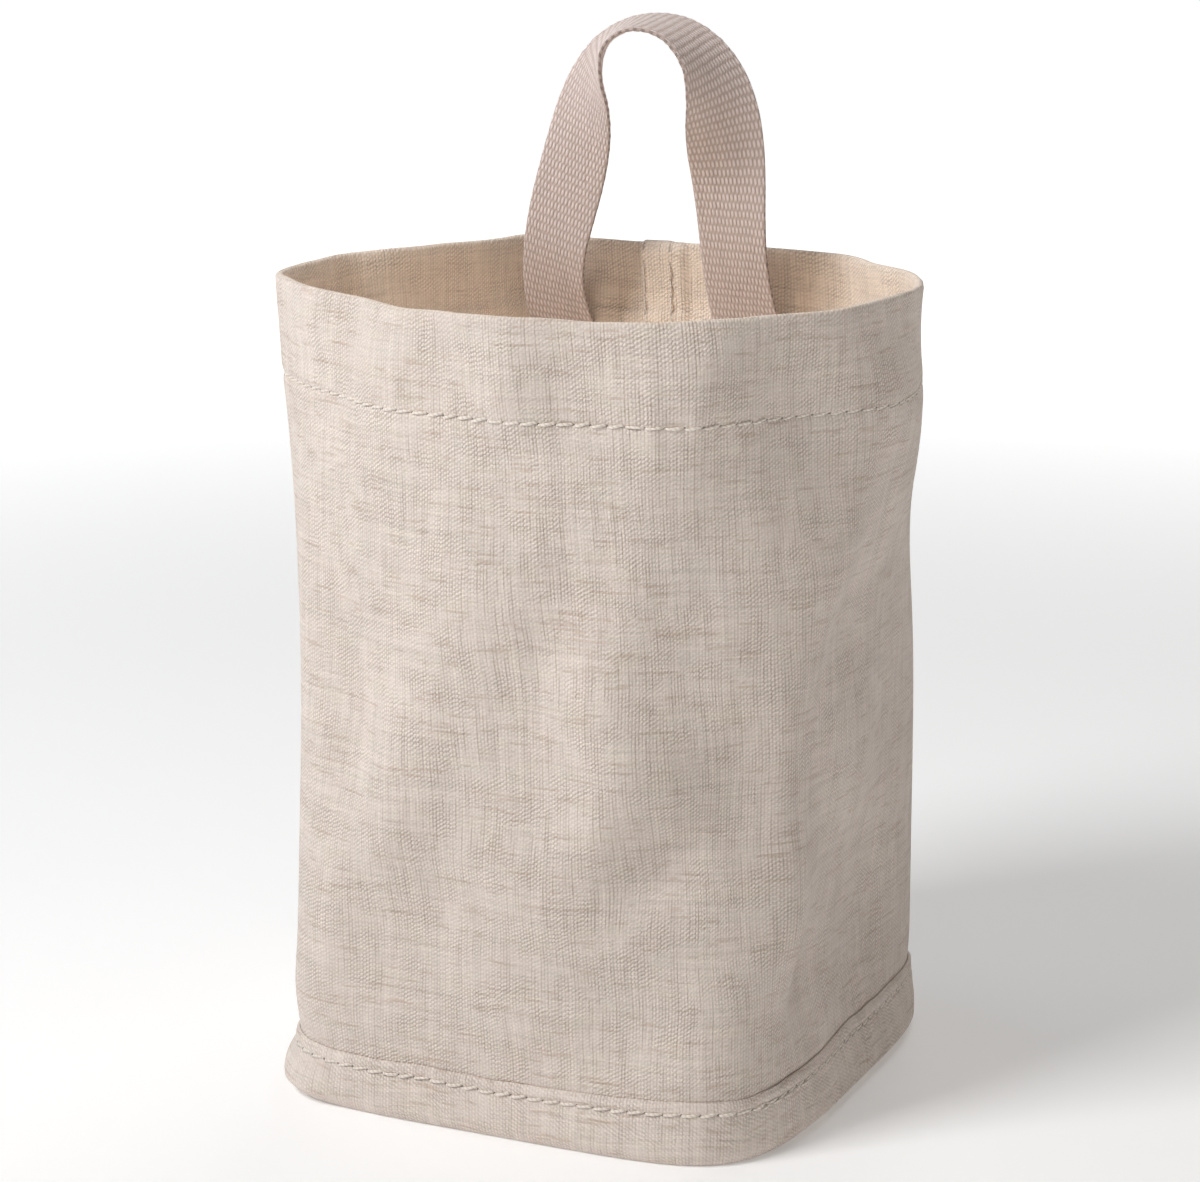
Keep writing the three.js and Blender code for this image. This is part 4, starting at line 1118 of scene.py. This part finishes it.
def webbing_material(name):
    m = Net(name)
    u, v = m.uv()
    lift = m.mark("float")
    pi = math.pi
    fibre = m.noise(m.plus(u, m.times(v, 0.22)), v, 7.0, 0.7, 3.3, 2.0, 0.6)
    ends = m.noise(u, v, 1.43, 0.02, 8.8, 1.0, 0.5)
    cloud = m.noise(u, v, 0.10, 0.06, 17.0, 3.0, 0.6)
    colour = m.mix(m.times(cloud, 0.5), (0.760, 0.662, 0.630), (0.745, 0.667, 0.650))
    # painted shade: where the ends dive between the floats the colour is darkened
    dive_shade = m.span(lift, 0.42, 0.96, 1.0, 0.0)
    colour = m.mix(m.times(dive_shade, 0.62), colour, (0.430, 0.318, 0.270))
    # painted shade on the strap's edge, in small dark steps where the weft turns round the selvedge
    selvedge_shade = m.span(m.math("MINIMUM", u, m.math("SUBTRACT", STRAP_W, u)), 0.02, 0.14, 1.0, 0.0)
    steps = m.span(m.cos_of(v, 2 * pi / PICK), -0.6, 0.6, 0.12, 0.48)
    tone = m.plus(
        1.0,
        m.times(m.math("SUBTRACT", ends, 0.5), 0.16),
        m.times(m.math("SUBTRACT", fibre, 0.5), 0.24),
        m.times(m.math("SUBTRACT", cloud, 0.5), 0.10),
    )
    tone = m.times(tone, m.math("SUBTRACT", 1.0, m.times(selvedge_shade, steps)))
    colour = m.scale_colour(colour, tone)
    m.put(m.shader.inputs["Base Color"], colour)
    m.put(m.shader.inputs["Roughness"], m.plus(0.74, m.times(dive_shade, 0.15)))
    m.shader.inputs["Specular IOR Level"].default_value = 0.35
    m.shader.inputs["Sheen Weight"].default_value = 0.15
    m.shader.inputs["Sheen Roughness"].default_value = 0.4
    m.bump(m.plus(m.times(fibre, 0.09), m.times(m.noise(u, v, 5.0, 5.0, 40.0, 1.0), 0.03)), MM)
    return m.material


def thread_material(name):
    m = Net(name)
    u, v = m.uv()
    ply = m.cos_of(m.plus(m.times(u, 3.3), m.times(v, -5.2)))
    fibre = m.noise(m.plus(u, m.times(v, -0.8)), v, 6.0, 1.2, 4.4, 2.0, 0.6)
    # painted shade in the grooves between the plies
    colour = m.mix(m.span(ply, -1.0, 0.2, 1.0, 0.0), (0.860, 0.785, 0.715), (0.72, 0.625, 0.545))
    colour = m.scale_colour(colour, m.plus(0.96, m.times(m.math("SUBTRACT", fibre, 0.5), 0.18)))
    m.put(m.shader.inputs["Base Color"], colour)
    m.put(m.shader.inputs["Roughness"], m.plus(0.60, m.times(fibre, 0.15)))
    m.shader.inputs["Specular IOR Level"].default_value = 0.4
    m.bump(m.plus(m.times(ply, 0.045), m.times(fibre, 0.03)), MM)
    return m.material


canvas_body = canvas("canvas_wall", stitched=True, seam_rows=True)
# painted light: the band's copy of the canvas is lighter, making up for the light its down-turned lower part doesn't
# get, and its painted weave shade is calmer
canvas_band = canvas("canvas_band", stitched=True, painted_light=1.03, calm=0.7)
canvas_base = canvas("canvas_base")
woven = webbing_material("woven_webbing")
spun = thread_material("sewing_thread")

for obj, material in ((body, canvas_body), (band, canvas_band), (base, canvas_base), (webbing, woven)):
    obj.data.materials.append(material)
threads = [hem_threads, band_threads, base_threads, seam_left, seam_right, tack_left, tack_right]
for obj in threads:
    obj.data.materials.append(spun)

# --------------------------------------------------- bodies and CAD nodes ----

for obj, nodes, slot in (
    (body, ["body_panel"], "canvas"),
    (band, ["base_band"], "canvas"),
    (base, ["base_panel"], "canvas"),
    (hem_threads, ["hem_stitching"], "thread"),
    (band_threads, ["band_stitching"], "thread"),
    (base_threads, ["base_seam_stitching"], "thread"),
    (seam_left, ["back_seam_stitching_left"], "thread"),
    (seam_right, ["back_seam_stitching_right"], "thread"),
    (tack_left, ["handle_tack_left"], "thread"),
    (tack_right, ["handle_tack_right"], "thread"),
):
    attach(obj, "bag")
    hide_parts(*nodes)

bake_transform(webbing)
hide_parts("handle_loop", "handle_end_left", "handle_end_right")

# ------------------------------------------------------ floor and lighting ----


def make_floor():
    radii = [0.0, 0.15, 0.3, 0.5, 0.8, 1.3, 2.0, 3.2, 5.0, 8.0, 14.0]
    sides = 64
    vertices = [(0.0, 0.0, 0.0)]
    for r in radii[1:]:
        for k in range(sides):
            t = 2 * math.pi * k / sides
            vertices.append((r * math.cos(t), r * math.sin(t), 0.0))
    faces = [(0, 1 + k, 1 + (k + 1) % sides) for k in range(sides)]
    for i in range(len(radii) - 2):
        for k in range(sides):
            a, b = 1 + i * sides + k, 1 + i * sides + (k + 1) % sides
            faces.append((a, a + sides, b + sides, b))
    mesh = bpy.data.meshes.new("floor")
    mesh.from_pydata(vertices, [], faces)
    mesh.update()
    obj = bpy.data.objects.new("floor", mesh)
    bpy.context.scene.collection.objects.link(obj)
    m = Net("floor_white")
    coordinates = m.add("ShaderNodeTexCoord")
    noise = m.add("ShaderNodeTexNoise")
    noise.inputs["Scale"].default_value = 3.0
    m.links.new(coordinates.outputs["Object"], noise.inputs["Vector"])
    m.put(m.shader.inputs["Base Color"], m.mix(noise.outputs[0], (0.90, 0.90, 0.90), (0.92, 0.92, 0.92)))
    m.shader.inputs["Roughness"].default_value = 0.9
    m.shader.inputs["Specular IOR Level"].default_value = 0.1
    # far from the bag the backdrop is lit by itself, as a studio's is
    distance = m.add("ShaderNodeVectorMath", operation="LENGTH")
    m.links.new(coordinates.outputs["Object"], distance.inputs[0])
    m.shader.inputs["Emission Color"].default_value = (1.0, 1.0, 1.0, 1.0)
    m.put(m.shader.inputs["Emission Strength"], m.span(distance.outputs["Value"], 0.40, 1.5, 0.17, 0.92))
    mesh.materials.append(m.material)
    return obj


floor = make_floor()

world = bpy.data.worlds.new("studio")
world.use_nodes = True
sky = world.node_tree
direction = sky.nodes.new("ShaderNodeTexCoord")
apart = sky.nodes.new("ShaderNodeSeparateXYZ")
level = sky.nodes.new("ShaderNodeMath")
level.operation = "ABSOLUTE"
fade = sky.nodes.new("ShaderNodeMapRange")
fade.interpolation_type = "SMOOTHSTEP"
for k, value in ((1, 0.03), (2, 0.12), (3, 1.0), (4, 0.08)):
    fade.inputs[k].default_value = value
sky.links.new(direction.outputs["Generated"], apart.inputs[0])
sky.links.new(apart.outputs[2], level.inputs[0])
sky.links.new(level.outputs[0], fade.inputs[0])
sky.links.new(fade.outputs[0], sky.nodes["Background"].inputs[1])
sky.nodes["Background"].inputs[0].default_value = (1.0, 1.0, 1.0, 1.0)
bpy.context.scene.world = world


def softbox(name, azimuth, elevation, distance, size, power, target=(0.0, 0.0, 0.11), colour=(1.0, 1.0, 1.0)):
    """A square area light. Azimuth 0 is in front of the bag, on -Y, and 90 on +X."""
    data = bpy.data.lights.new(name, "AREA")
    data.shape, data.size, data.energy, data.color = "SQUARE", size, power, colour
    obj = bpy.data.objects.new(name, data)
    a, e = math.radians(azimuth), math.radians(elevation)
    back = Vector((math.sin(a) * math.cos(e), -math.cos(a) * math.cos(e), math.sin(e)))
    obj.location = Vector(target) + back * distance
    obj.rotation_mode = "QUATERNION"
    obj.rotation_quaternion = (-back).to_track_quat("-Z", "Y")
    bpy.context.scene.collection.objects.link(obj)
    return obj


softbox("key", -34, 44, 1.6, 0.60, 17.2)
softbox("left", -92, 14, 1.6, 0.8, 3.4, colour=(0.93, 0.995, 1.08))
softbox("rear", 180, 42, 1.6, 0.9, 5.0)
softbox("low", 20, 15, 1.6, 0.9, 0.6)
softbox("overhead", 0, 89, 1.4, 1.2, 3.0)
softbox("right", 70, 28, 1.6, 0.9, 1.1, colour=(1.22, 0.95, 0.66))

# light that comes through the canvas and stays in the bag
glow = softbox("inner_glow", 0, -89, 0.045, 0.07, 0.036, target=(0.0, 0.0, 0.14), colour=(1.0, 0.93, 0.84))
glow.visible_camera = False

scene = bpy.context.scene
scene.view_settings.view_transform = "Standard"
scene.view_settings.look = "None"
scene.view_settings.exposure = 0.0
scene.view_settings.gamma = 1.0
